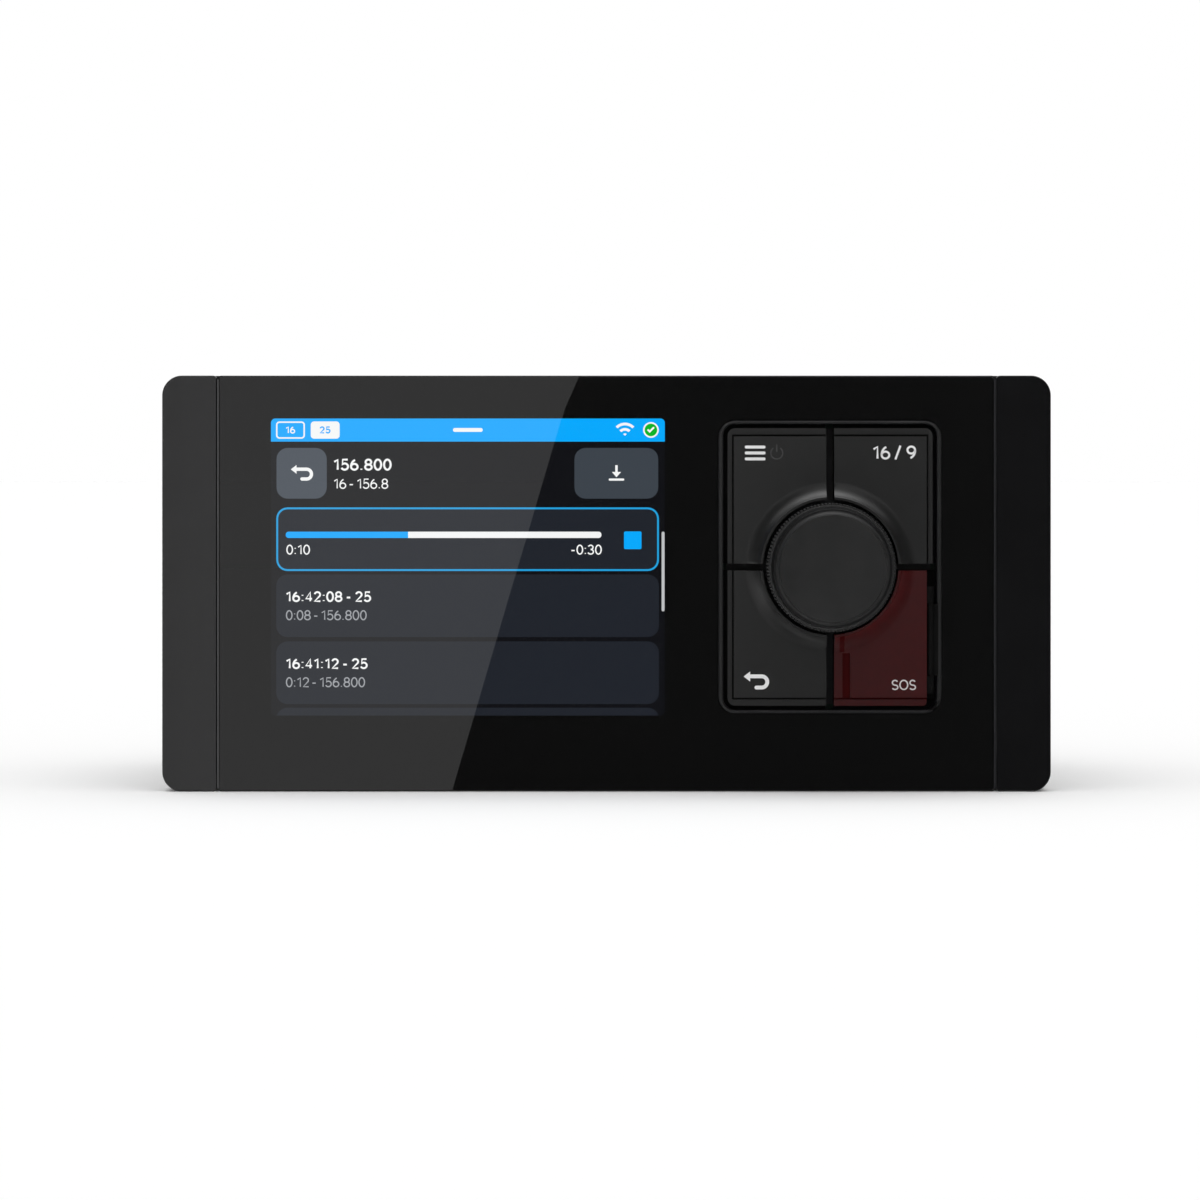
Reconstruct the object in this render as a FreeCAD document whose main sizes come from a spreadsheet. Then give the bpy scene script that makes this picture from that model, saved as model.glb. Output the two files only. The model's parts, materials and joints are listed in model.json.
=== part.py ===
"""Flush-mounted marine VHF radio, built as a parametric FreeCAD document.

Frame: millimetres, +Z up, the face looks along -Y and +X is to its right.  The origin is the
middle of the flange's back, the plane that seats on the dash.  A "level" is a distance in front
of that plane, so a level is -Y and everything behind the dash has a negative level.
"""
import FreeCAD
import Part
import math
import os
import Sketcher

DOCUMENT = FreeCAD.newDocument("vhf_radio")

# Driving sizes: alias, millimetres (or a plain count), what it is
DRIVING_SIZES = [
    ("screen_width", 81.1, "lit area, left to right"),
    ("screen_height", 61.2, "lit area, bottom to top"),
    ("screen_side", 10.71, "lit area inside the glass, at the left"),
    ("screen_above", 8.85, "panel above the lit area"),
    ("screen_below", 15.65, "panel below the lit area"),
    ("screen_to_keypad", 11.05, "lit area to the rim of the keypad"),
    ("keypad_width", 42.2, "keys, left to right"),
    ("keypad_side", 10.86, "rim of the keypad inside the glass, at the right"),
    ("keypad_above", 2.0, "keys below the top of the lit area"),
    ("keypad_below", 2.1, "keys above the bottom of the lit area"),
    ("panel_corner", 4.1, "corner radius of the flange"),
    ("panel_edge", 0.8, "rounding of the front edges"),
    ("flange_depth", 9.7, "seat plane to the face that carries the glass"),
    ("plate_thickness", 2.2, "front wall of the bezel"),
    ("ear_depth", 7.0, "seat plane to the front of the screw ears"),
    ("cap_width", 11.2, "trim cap, left to right"),
    ("cap_wall", 1.2, "trim cap wall"),
    ("seam_rib", 0.3, "rib of the bezel between a trim cap and the glass"),
    ("seam_gap", 0.12, "gap on each side of that rib"),
    ("seam_corner", 0.8, "corner radius beside the seam"),
    ("rib_setback", 0.25, "rib front behind the glass front"),
    ("snap_width", 5.0, "snap hook of a trim cap, bottom to top"),
    ("snap_thickness", 2.4, "snap hook of a trim cap, left to right"),
    ("snap_length", 4.5, "snap hook depth in the ear"),
    ("snap_spread", 15.0, "snap hooks above and below the middle"),
    ("snap_fit", 0.1, "snap hook clear of its slot"),
    ("tape_thickness", 0.2, "adhesive under the glass"),
    ("glass_thickness", 1.1, "front glass"),
    ("glass_margin", 0.2, "glass inside the bezel edge, top and bottom"),
    ("mount_inset", 7.85, "mounting holes inside the top and bottom edges"),
    ("mount_hole", 2.2, "mounting hole radius"),
    ("neck_inset_x", 11.3, "body in the dash cut-out inside the flange, left and right"),
    ("neck_inset_z", 4.35, "body in the dash cut-out inside the flange, top and bottom"),
    ("neck_corner", 4.0, "corner radius of the body"),
    ("neck_length", 6.0, "bezel behind the seat plane"),
    ("neck_wall", 2.5, "wall of the bezel behind the flange"),
    ("gasket_width", 2.4, "dash gasket, across its band"),
    ("gasket_depth", 1.5, "dash gasket thickness"),
    ("gasket_inset", 0.5, "gasket groove outside the neck"),
    ("lcd_border", 0.95, "dark border of the panel round the lit area"),
    ("lcd_thickness", 1.6, "liquid crystal panel"),
    ("backlight_thickness", 3.0, "backlight"),
    ("frame_wall", 0.7, "pressed frame that holds the display"),
    ("frame_gap", 0.1, "frame and bezel clear of the display"),
    ("key_corner", 1.6, "outer corner radius of a key"),
    ("key_gap_x", 1.6, "gap between the left and right keys"),
    ("key_gap_z", 1.4, "gap between the upper and lower keys"),
    ("key_edge_gap", 0.9, "gap between the keys and the rim"),
    ("rim_width", 0.9, "rim of the surround, left and right"),
    ("rim_bar", 0.6, "rim of the surround, top and bottom"),
    ("rim_height", 0.5, "rim in front of the glass"),
    ("rim_chamfer", 0.25, "bevel on the rim"),
    ("lip_height", 0.8, "outer lip of a key in front of the glass"),
    ("lip_width", 1.3, "outer lip of a key, top and bottom"),
    ("lip_side", 0.9, "outer lip of a key, left and right"),
    ("lip_groove", 0.4, "groove between lip and face, width and depth"),
    ("face_height", 1.6, "key face in front of the glass"),
    ("collar_height", 3.4, "collar round the knob in front of the glass"),
    ("collar_reach", 3.8, "collar, from its inside to its foot"),
    ("collar_crest", 0.5, "flat top of the collar"),
    ("collar_margin", 2.1, "foot of the collar inside the edge of the key faces"),
    ("key_travel", 0.8, "stroke of a key"),
    ("key_flange", 1.9, "retaining flange outside a key"),
    ("key_flange_thickness", 0.8, "retaining flange"),
    ("plunger_length", 0.4, "plunger behind a key"),
    ("plunger_radius", 2.5, "plunger behind a key"),
    ("plunger_inset_x", 9.1, "plunger inside the side edge of a key"),
    ("plunger_inset_z", 8.05, "plunger inside the top or bottom edge of a key"),
    ("mat_thickness", 1.2, "silicone keypad mat"),
    ("mat_dome", 3.4, "dome radius at the mat"),
    ("mat_clearance", 0.3, "mat dome left when a key is down"),
    ("cover_wall", 0.9, "distress cover wall"),
    ("cover_side_lip", 1.7, "left lip of the cover"),
    ("cover_side_groove", 1.6, "groove beside the cover's left lip, width"),
    ("cover_foot_gap", 0.3, "hollow of the cover outside the collar's foot"),
    ("button_inset", 0.8, "distress button inside the cover's hollow"),
    ("button_drop", 0.6, "distress button behind the cover's inner face"),
    ("hinge_inset", 0.4, "cover hinge inside the right edge of the keys"),
    ("hinge_level", 0.7, "cover hinge in front of the glass"),
    ("hinge_barrel", 0.65, "barrel radius of the cover hinge"),
    ("hinge_pin", 0.35, "hinge pin radius"),
    ("hinge_fit", 0.04, "hinge pin running clearance"),
    ("hinge_gap", 0.2, "cover edge clear of the barrel"),
    ("hinge_top", 4.0, "top of the hinge below the knob centre"),
    ("hinge_bottom", 2.55, "bottom of the hinge above the lower edge of the keys"),
    ("knuckle_length", 3.5, "each knuckle of the cover"),
    ("knuckle_gap", 0.15, "end clearance of a knuckle"),
    ("knob_height", 14.0, "knob front in front of the glass"),
    ("knob_rear_gap", 0.9, "knob rear in front of the glass"),
    ("knob_gap", 0.7, "grip ring clear of the collar"),
    ("grip_step", 0.8, "knob side inside the grip ring"),
    ("knob_taper", 0.3, "knob narrower at its front"),
    ("knob_edge", 1.2, "rounded front edge of the knob"),
    ("knob_wall", 1.4, "knob wall"),
    ("knob_boss", 4.6, "hub radius inside the knob"),
    ("grip_height", 6.6, "grip ring, front to back"),
    ("grip_bite", 0.3, "depth of a knurl"),
    ("grip_teeth", 64, "number of knurls"),
    ("shaft_radius", 3.0, "encoder shaft"),
    ("shaft_fit", 0.04, "encoder shaft running clearance"),
    ("shaft_reach", 9.0, "shaft tip in front of the glass"),
    ("shaft_flat", 1.5, "depth of the flat on the shaft"),
    ("encoder_size", 13.0, "encoder housing, square"),
    ("encoder_depth", 5.0, "encoder housing, front to back"),
    ("encoder_wall", 0.7, "encoder housing wall"),
    ("bush_radius", 4.3, "threaded bush of the encoder"),
    ("bush_length", 2.2, "threaded bush of the encoder"),
    ("rotor_radius", 4.8, "encoder rotor"),
    ("rotor_thickness", 1.6, "encoder rotor"),
    ("board_thickness", 1.6, "circuit boards"),
    ("key_board_side", 5.9, "keypad board outside the keys, left and right"),
    ("key_board_end", 1.95, "keypad board outside the keys, top and bottom"),
    ("key_boss_side", 4.1, "keypad board screws outside the keys"),
    ("key_boss_inset", 10.55, "keypad board screws inside the top and bottom of the keys"),
    ("boss_radius", 1.9, "small screw boss and screw head"),
    ("small_screw", 1.0, "small screw radius"),
    ("screw_fit", 0.05, "screw clear of its hole"),
    ("head_height", 1.2, "small screw head"),
    ("post_radius", 4.8, "corner posts for the housing screws"),
    ("post_skin", 0.2, "corner posts inside the rear outline"),
    ("post_length", 7.0, "bezel corner post"),
    ("case_screw", 1.5, "housing screw radius"),
    ("case_screw_grip", 6.0, "housing screw in the bezel"),
    ("case_screw_seat", 8.0, "housing thickness under a screw head"),
    ("case_head", 2.75, "housing screw head radius"),
    ("case_channel", 3.3, "screw channel radius in the housing"),
    ("seal_thickness", 0.8, "seal between bezel and housing"),
    ("housing_depth", 72.0, "die-cast housing, front to back"),
    ("housing_taper", 2.0, "housing narrower at the rear, each side"),
    ("housing_wall", 3.0, "side walls at the rear"),
    ("rear_wall", 4.0, "rear wall"),
    ("fin_height", 4.0, "cooling fins, top and bottom"),
    ("fin_thickness", 2.6, "cooling fin"),
    ("fin_margin", 12.0, "outermost slots inside the corner screws"),
    ("fin_count", 18, "slots between the fins"),
    ("fin_run_out", 10.0, "solid housing in front of the slots"),
    ("board_rise", 10.0, "middle of the main board above the floor of the housing"),
    ("board_side", 2.2, "main board clear of the side walls"),
    ("board_rear", 5.8, "main board clear of the rear wall"),
    ("board_start", 13.0, "main board front edge behind the seat plane"),
    ("board_post", 3.0, "main board post radius"),
    ("board_post_side", 7.0, "main board posts inside its side edges"),
    ("board_post_inset", 6.0, "main board posts inside its front and rear edges"),
    ("amplifier_x", 22.0, "power amplifier, right of the origin"),
    ("amplifier_width", 60.0, "power amplifier, left to right"),
    ("amplifier_length", 18.0, "power amplifier, front to back"),
    ("amplifier_height", 8.0, "power amplifier"),
    ("spreader_margin", 2.0, "heat spreader outside the amplifier"),
    ("spreader_thickness", 2.4, "heat spreader"),
    ("board_cut_gap", 1.0, "board cut-out round the heat spreader"),
    ("shield_width", 44.0, "receiver screening can, left to right"),
    ("shield_length", 34.0, "receiver screening can, front to back"),
    ("shield_height", 7.0, "receiver screening can"),
    ("shield_wall", 0.5, "receiver screening can"),
    ("shield_x", -34.0, "receiver screening can, right of the origin"),
    ("sounder_radius", 7.0, "alarm sounder"),
    ("sounder_height", 5.0, "alarm sounder"),
    ("sounder_x", 2.0, "alarm sounder, right of the origin"),
    ("ribbon_width", 20.0, "flat cables"),
    ("ribbon_thickness", 0.3, "flat cables"),
    ("ribbon_bend", 3.0, "bend radius of the flat cables"),
    ("display_ribbon_rise", 11.2, "display cable above the main board"),
    ("keypad_ribbon_rise", 9.2, "keypad cable above the main board"),
    ("plug_width", 23.0, "board connectors for the flat cables"),
    ("plug_length", 5.0, "board connectors for the flat cables"),
    ("plug_height", 3.0, "board connectors for the flat cables"),
    ("socket_z", 8.0, "rear sockets above the origin"),
    ("socket_flange", 2.0, "flange thickness of the rear sockets"),
    ("socket_neck_step", 1.0, "socket neck inside its barrel radius"),
    ("socket_tail", 4.0, "socket neck behind the rear wall"),
    ("nut_thickness", 2.6, "nuts of the rear sockets"),
    ("nut_margin", 2.4, "half width of a nut outside the socket neck"),
    ("antenna_side", 19.2, "antenna socket inside the side wall"),
    ("antenna_radius", 7.94, "antenna socket thread, five eighths of an inch"),
    ("antenna_length", 15.0, "antenna socket behind the rear wall"),
    ("antenna_bore", 5.6, "antenna socket bore radius"),
    ("antenna_depth", 12.0, "antenna socket bore depth"),
    ("antenna_flange", 11.0, "antenna socket flange radius"),
    ("contact_radius", 2.7, "antenna centre contact"),
    ("contact_bore", 2.0, "antenna centre contact bore"),
    ("network_radius", 6.0, "network socket thread, twelve millimetres"),
    ("network_length", 12.0, "network socket behind the rear wall"),
    ("network_bore", 4.6, "network socket bore radius"),
    ("network_depth", 9.0, "network socket bore depth"),
    ("network_flange", 8.5, "network socket flange radius"),
    ("network_pin", 0.5, "network pin radius"),
    ("network_ring", 2.8, "network pin circle"),
    ("network_pins", 5, "network pins"),
    ("handset_radius", 8.0, "handset socket barrel"),
    ("handset_length", 14.0, "handset socket behind the rear wall"),
    ("handset_bore", 6.6, "handset socket bore radius"),
    ("handset_depth", 12.0, "handset socket bore depth"),
    ("handset_flange", 10.5, "handset socket flange radius"),
    ("handset_pin", 0.6, "handset pin radius"),
    ("handset_ring", 4.4, "handset pin circle"),
    ("handset_pins", 8, "handset pins"),
    ("power_side", 23.2, "power socket inside the side wall"),
    ("power_radius", 9.5, "power socket barrel"),
    ("power_length", 15.0, "power socket behind the rear wall"),
    ("power_bore", 8.0, "power socket bore radius"),
    ("power_depth", 13.0, "power socket bore depth"),
    ("power_flange", 12.0, "power socket flange radius"),
    ("power_pin", 1.1, "power pin radius"),
    ("power_ring", 4.2, "power pin circle"),
    ("power_pins", 4, "power pins"),
    ("insert_thickness", 2.0, "insulating insert of a socket"),
    ("insert_fit", 0.05, "insert clear of its bore"),
    ("pin_length", 5.0, "socket pins in front of the insert"),
    ("low_row_rise", 12.0, "ground screw and vent above the floor of the housing"),
    ("low_row_side", 9.2, "ground screw and vent inside the side walls"),
    ("ground_radius", 2.5, "ground screw"),
    ("ground_head", 4.5, "ground screw head radius"),
    ("ground_head_height", 3.2, "ground screw head"),
    ("vent_neck", 3.0, "pressure vent neck radius"),
    ("vent_head", 5.5, "pressure vent head radius"),
    ("vent_height", 2.6, "pressure vent head"),
]


class Size:
    """A number with the sheet formula that it comes from, so features stay tied to the sheet."""

    def __init__(self, value, formula):
        self.value = float(value)
        self.formula = formula

    @staticmethod
    def of(number):
        return number if isinstance(number, Size) else Size(number, f"{float(number):.6f}")

    def join(self, sign, other, value):
        return Size(value, f"({self.formula} {sign} {other.formula})")

    def __add__(self, other):
        other = Size.of(other)
        return self.join("+", other, self.value + other.value)

    def __sub__(self, other):
        other = Size.of(other)
        return self.join("-", other, self.value - other.value)

    def __mul__(self, other):
        other = Size.of(other)
        return self.join("*", other, self.value * other.value)

    def __truediv__(self, other):
        other = Size.of(other)
        return self.join("/", other, self.value / other.value)

    def __radd__(self, other):
        return Size.of(other) + self

    def __rsub__(self, other):
        return Size.of(other) - self

    def __rmul__(self, other):
        return Size.of(other) * self

    def __neg__(self):
        return self * -1


class Sheet:
    """The spreadsheet of driving sizes; each alias reads as an attribute."""

    def __init__(self, rows):
        self.cells = DOCUMENT.addObject("Spreadsheet::Sheet", "sizes")
        self.values = {}
        for alias, value, note in rows:
            self.enter(alias, value, str(value), note)

    def enter(self, alias, value, content, note):
        """Fill the next row of the sheet."""
        row = len(self.values) + 1
        self.cells.set(f"A{row}", note)
        self.cells.set(f"B{row}", content)
        self.cells.setAlias(f"B{row}", alias)
        self.values[alias] = value

    def derive(self, alias, size, note):
        """Enter a size that follows from others, and return it under its own name."""
        self.enter(alias, size.value, "=" + size.formula.replace("sizes.", ""), note)
        return getattr(self, alias)

    def __getattr__(self, alias):
        return Size(self.values[alias], f"sizes.{alias}")


S = Sheet(DRIVING_SIZES)
# The sketcher numbers a geometry's points in this order
POINTS = ("edge", "start", "end", "centre")


class Outline:
    """A sketch on one of its body's origin planes, with every dimension tied to the sheet."""

    def __init__(self, body, plane, level):
        self.sketch = body.newObject("Sketcher::SketchObject", "Sketch")
        support = next(f for f in body.Origin.OriginFeatures if f.Role == plane)
        self.sketch.AttachmentSupport = [(support, "")]
        self.sketch.MapMode = "FlatFace"
        self.sketch.setExpression("AttachmentOffset.Base.z", Size.of(level).formula)

    def rule(self, *parts, size=None):
        """Add a constraint; with a size, its datum follows the sheet."""
        if size is None:
            return self.sketch.addConstraint(Sketcher.Constraint(*parts))
        index = self.sketch.addConstraint(Sketcher.Constraint(*parts, size.value))
        self.sketch.setExpression(f"Constraints[{index}]", size.formula)
        return index

    def hold(self, geometry, point, x, y):
        """Tie one point of a geometry to its place from the sketch's origin."""
        number = POINTS.index(point)
        self.rule("DistanceX", -1, 1, geometry, number, size=Size.of(x))
        self.rule("DistanceY", -1, 1, geometry, number, size=Size.of(y))

    def circle(self, radius, x=0.0, y=0.0):
        radius, x, y = Size.of(radius), Size.of(x), Size.of(y)
        centre = FreeCAD.Vector(x.value, y.value, 0)
        index = self.sketch.addGeometry(Part.Circle(centre, FreeCAD.Vector(0, 0, 1), radius.value))
        self.rule("Radius", index, size=radius)
        self.hold(index, "centre", x, y)
        return self

    def profile(self, points, arcs=None):
        """Closed outline through points; arcs maps a side's number to its signed radius.

        A positive radius bulges to the right of the direction of travel.
        """
        arcs = arcs or {}
        points = [(Size.of(x), Size.of(y)) for x, y in points]
        places = [FreeCAD.Vector(x.value, y.value, 0) for x, y in points]
        sides = []
        for number, start in enumerate(places):
            end = places[(number + 1) % len(places)]
            if number in arcs:
                sides.append(self.arc_side(start, end, arcs[number]))
            else:
                index = self.sketch.addGeometry(Part.LineSegment(start, end))
                sides.append((index, "start", "end"))
        for number, (index, first, last) in enumerate(sides):
            following, next_first, _ = sides[(number + 1) % len(sides)]
            self.rule("Coincident", index, POINTS.index(last), following, POINTS.index(next_first))
            self.hold(index, first, *points[number])
        return self

    def arc_side(self, start, end, radius):
        """Arc between two points; returns its geometry and the names of its first and last point."""
        radius = Size.of(radius)
        size = abs(radius.value)
        chord = end - start
        sag = math.sqrt(max(size ** 2 - (chord.Length / 2) ** 2, 0.0))
        normal = FreeCAD.Vector(-chord.y, chord.x, 0).normalize()
        side = 1 if radius.value > 0 else -1
        centre = (start + end) / 2 + normal * sag * side
        angles = [math.atan2(p.y - centre.y, p.x - centre.x) for p in (start, end)]
        circle = Part.Circle(centre, FreeCAD.Vector(0, 0, 1), size)
        turn = angles if side > 0 else angles[::-1]
        index = self.sketch.addGeometry(Part.ArcOfCircle(circle, turn[0], turn[1]))
        self.rule("Radius", index, size=radius * side)
        return (index, "start", "end") if side > 0 else (index, "end", "start")

    def polygon(self, half_width, sides, x=0.0, y=0.0):
        """Regular polygon about (x, y), measured across its flats."""
        reach = half_width / math.cos(math.pi / sides)
        corners = [math.tau * number / sides for number in range(sides)]
        return self.profile([(x + reach * math.cos(turn), y + reach * math.sin(turn)) for turn in corners])

    def rectangle(self, width, height, corner=0.0, x=0.0, y=0.0):
        """Rectangle about (x, y); a corner radius rounds all four corners."""
        half_w, half_h = Size.of(width) / 2, Size.of(height) / 2
        return self.block(x - half_w, x + half_w, y - half_h, y + half_h, corner)

    def block(self, left, right, low, high, corner=0.0):
        """Rectangle between four edges; a corner radius rounds all four corners."""
        corner = Size.of(corner)
        if corner.value == 0:
            return self.profile([(left, low), (right, low), (right, high), (left, high)])
        points = [
            (left + corner, low), (right - corner, low), (right, low + corner),
            (right, high - corner), (right - corner, high), (left + corner, high),
            (left, high - corner), (left, low + corner),
        ]
        return self.profile(points, arcs={1: corner, 3: corner, 5: corner, 7: corner})


class Piece:
    """One sub-part: a PartDesign body, placed by the sheet and named after its node."""

    made = []

    def __init__(self, label, x=0.0, y=0.0, z=0.0):
        self.body = DOCUMENT.addObject("PartDesign::Body", label)
        self.body.Label = label
        for axis, place in (("x", x), ("y", y), ("z", z)):
            self.body.setExpression(f"Placement.Base.{axis}", Size.of(place).formula)
        Piece.made.append(self.body)

    def front(self, level):
        """Sketch that faces the front: its axes are X and Z, and pads grow to the front."""
        return Outline(self.body, "XZ_Plane", level)

    def flat(self, height):
        """Sketch that faces up: its axes are X and Y, and pads grow upward."""
        return Outline(self.body, "XY_Plane", height)

    def side(self, place):
        """Sketch that faces right: its axes are Y and Z, and pads grow to the right."""
        return Outline(self.body, "YZ_Plane", place)

    def feature(self, kind, outline, **settings):
        made = self.body.newObject(f"PartDesign::{kind}", kind)
        made.Profile = outline.sketch
        for name, value in settings.items():
            if isinstance(value, Size):
                made.setExpression(name, value.formula)
            else:
                setattr(made, name, value)
        return made

    def pad(self, outline, length, **settings):
        return self.feature("Pad", outline, Length=Size.of(length), **settings)

    def pocket(self, outline, length, **settings):
        """Cut away from the sketch's facing side; Reversed cuts towards it."""
        return self.feature("Pocket", outline, Length=Size.of(length), **settings)

    def spin(self, outline, kind="Revolution", angle=360.0, axis="V_Axis"):
        """Revolve or groove about an axis of the sketch."""
        made = self.feature(kind, outline, Angle=angle)
        made.ReferenceAxis = (outline.sketch, [axis])
        return made

    def chamfer(self, size, wanted):
        """Bevel every edge of the last feature that wanted() picks."""
        DOCUMENT.recompute()
        base = self.body.Tip
        names = [f"Edge{n}" for n, edge in enumerate(base.Shape.Edges, start=1) if wanted(edge)]
        made = self.body.newObject("PartDesign::Chamfer", "Chamfer")
        made.Base = (base, names)
        made.setExpression("Size", size.formula)
        return made

    def repeat(self, kind, source, axis, **settings):
        """Pattern one feature of the body."""
        made = self.body.newObject(f"PartDesign::{kind}", kind)
        made.Originals = [source]
        setattr(made, "Axis" if kind == "PolarPattern" else "Direction", axis)
        for name, value in settings.items():
            if isinstance(value, Size):
                made.setExpression(name, value.formula)
            else:
                setattr(made, name, value)
        self.body.Tip = made
        return made


def at_level(level):
    """Pick edges that lie wholly in the plane of a level."""
    place = -Size.of(level).value

    def wanted(edge):
        box = edge.BoundBox
        return abs(box.YMin - place) < 1e-4 and abs(box.YMax - place) < 1e-4
    return wanted


# A hexagon inside a circle is this much narrower across its flats
HEXAGON_FIT = math.cos(math.pi / 6)

# Levels and places that several pieces share
GLASS_BACK = S.flange_depth + S.tape_thickness
GLASS_FRONT = GLASS_BACK + S.glass_thickness
PLATE_BACK = S.flange_depth - S.plate_thickness
RIM_FRONT = GLASS_FRONT + S.rim_height
LIP_FRONT = GLASS_FRONT + S.lip_height
FACE_FRONT = GLASS_FRONT + S.face_height
COLLAR_FRONT = GLASS_FRONT + S.collar_height
FLANGE_BACK = PLATE_BACK - S.key_flange_thickness
PLUNGER_BACK = FLANGE_BACK - S.plunger_length
MAT_FRONT = PLUNGER_BACK - S.key_travel - S.mat_clearance
KEY_BOARD_FRONT = MAT_FRONT - S.mat_thickness
KEY_BOARD_BACK = KEY_BOARD_FRONT - S.board_thickness
RIM_REACH = S.key_edge_gap + S.rim_width
SCREEN_REACH = S.screen_side + S.screen_width + S.screen_to_keypad
KEYPAD_REACH = RIM_REACH * 2 + S.keypad_width + S.keypad_side
GLASS_WIDTH = S.derive("glass_width", SCREEN_REACH + KEYPAD_REACH, "glass, left to right")
GLASS_HALF = GLASS_WIDTH / 2
CAP_INNER = GLASS_HALF + S.seam_gap * 2 + S.seam_rib
PANEL_WIDTH = S.derive("panel_width", (CAP_INNER + S.cap_width) * 2, "flange, left to right")
PANEL_HEIGHT = S.derive(
    "panel_height", S.screen_above + S.screen_height + S.screen_below, "flange, bottom to top")
NECK_WIDTH = S.derive("neck_width", PANEL_WIDTH - S.neck_inset_x * 2, "body in the cut-out, across")
NECK_HEIGHT = S.derive("neck_height", PANEL_HEIGHT - S.neck_inset_z * 2, "body in the cut-out, upright")
MOUNT_X = PANEL_WIDTH / 2 - S.cap_width / 2
MOUNT_Z = PANEL_HEIGHT / 2 - S.mount_inset
SCREEN_X = S.derive(
    "screen_x", S.screen_side + S.screen_width / 2 - GLASS_HALF, "screen centre, right of the origin")
SCREEN_Z = S.derive("screen_z", (S.screen_below - S.screen_above) / 2, "screen centre, above the origin")
KEYPAD_HALF_X = S.keypad_width / 2
KEYPAD_HALF_Z = (S.screen_height - S.keypad_above - S.keypad_below) / 2
KEYPAD_X = S.derive(
    "keypad_x", GLASS_HALF - S.keypad_side - RIM_REACH - KEYPAD_HALF_X, "knob centre, right of the origin")
KEYPAD_Z = S.derive(
    "keypad_z", SCREEN_Z + (S.keypad_below - S.keypad_above) / 2, "knob centre, above the origin")
OPENING_HALF_X = KEYPAD_HALF_X + S.key_edge_gap
OPENING_HALF_Z = KEYPAD_HALF_Z + S.key_edge_gap
KEY_BOSS_X = KEYPAD_HALF_X + S.key_boss_side
KEY_BOSS_Z = KEYPAD_HALF_Z - S.key_boss_inset
PLUNGER_X = KEYPAD_HALF_X - S.plunger_inset_x
PLUNGER_Z = KEYPAD_HALF_Z - S.plunger_inset_z
COLLAR_FOOT = KEYPAD_HALF_X - S.lip_side - S.lip_groove - S.collar_margin
COLLAR_RADIUS = COLLAR_FOOT - S.collar_reach
GRIP_RADIUS = COLLAR_RADIUS - S.knob_gap
KNOB_BASE = GRIP_RADIUS - S.grip_step
KNOB_TOP = KNOB_BASE - S.knob_taper
OPENING_CORNER = S.key_corner + S.key_edge_gap
LCD_WIDTH = S.screen_width + S.lcd_border * 2
LCD_HEIGHT = S.screen_height + S.lcd_border * 2
LCD_BACK = GLASS_BACK - S.lcd_thickness
BACKLIGHT_BACK = LCD_BACK - S.backlight_thickness
FRAME_BACK = BACKLIGHT_BACK - S.frame_wall
HINGE_LEVEL = GLASS_FRONT + S.hinge_level
HINGE_X = KEYPAD_HALF_X - S.hinge_inset
HINGE_LENGTH = KEYPAD_HALF_Z - S.hinge_top - S.hinge_bottom
COVER_FOOT = COLLAR_FOOT + S.cover_foot_gap
COVER_INNER = FACE_FRONT - S.cover_wall
COVER_LIP_BACK = LIP_FRONT - S.cover_wall
COVER_EDGE = HINGE_X - S.hinge_barrel - S.hinge_gap
BUTTON_FRONT = COVER_INNER - S.button_drop
HOUSING_FRONT = -(S.neck_length + S.seal_thickness)
HOUSING_REAR = HOUSING_FRONT - S.housing_depth
INNER_REAR = HOUSING_REAR + S.rear_wall
CAVITY_HALF_X = NECK_WIDTH / 2 - S.housing_taper - S.housing_wall
CAVITY_HALF_Z = NECK_HEIGHT / 2 - S.housing_taper - S.fin_height - S.neck_wall
BOARD_WIDTH = (CAVITY_HALF_X - S.board_side) * 2
BOARD_LENGTH = S.derive(
    "board_length", -INNER_REAR - S.board_rear - S.board_start, "main board, front to back")
BOARD_TOP = S.derive(
    "board_top", S.board_rise + S.board_thickness / 2 - CAVITY_HALF_Z, "main board's top above the origin")
BOARD_BOTTOM = BOARD_TOP - S.board_thickness
BOARD_MIDDLE_Y = S.board_start + BOARD_LENGTH / 2
PLUG_ROW_Y = S.board_start + S.plug_length
BOARD_POST_X = BOARD_WIDTH / 2 - S.board_post_side
BOARD_POST_FRONT = S.board_start + S.board_post_inset
BOARD_POST_REAR = S.board_start + BOARD_LENGTH - S.board_post_inset
POST_X = NECK_WIDTH / 2 - S.housing_taper - S.post_radius - S.post_skin
POST_Z = NECK_HEIGHT / 2 - S.housing_taper - S.post_radius - S.post_skin
FIN_SPAN = (POST_X - S.fin_margin) * 2
SPREADER_BOTTOM = BOARD_TOP - S.spreader_thickness
LOW_ROW_X = CAVITY_HALF_X - S.low_row_side
LOW_ROW_Z = S.low_row_rise - CAVITY_HALF_Z
REAR_Y = -HOUSING_REAR
ANTENNA_X = S.antenna_side - CAVITY_HALF_X
POWER_X = CAVITY_HALF_X - S.power_side

SOCKETS = {}
for place, socket_name in enumerate(("antenna", "network", "handset", "power")):
    SOCKETS[socket_name] = {
        key: getattr(S, f"{socket_name}_{key}") for key in ("radius", "length", "bore", "depth", "flange")}
    SOCKETS[socket_name]["x"] = ANTENNA_X + (POWER_X - ANTENNA_X) * place / 3


def four_corners(outline, radius, x, z):
    """Circles mirrored to the four quadrants."""
    for side_x in (-1, 1):
        for side_z in (-1, 1):
            outline.circle(radius, x * side_x, z * side_z)
    return outline


def key_board_spots():
    """Where the keypad board's four screws go."""
    return [(KEYPAD_X + KEY_BOSS_X * side_x, KEYPAD_Z + KEY_BOSS_Z * side_z)
            for side_x in (-1, 1) for side_z in (-1, 1)]


def main_board_spots():
    """Where the main board's four screws go, as seen from above."""
    return [(BOARD_POST_X * side, place)
            for side in (-1, 1) for place in (BOARD_POST_FRONT, BOARD_POST_REAR)]


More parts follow.
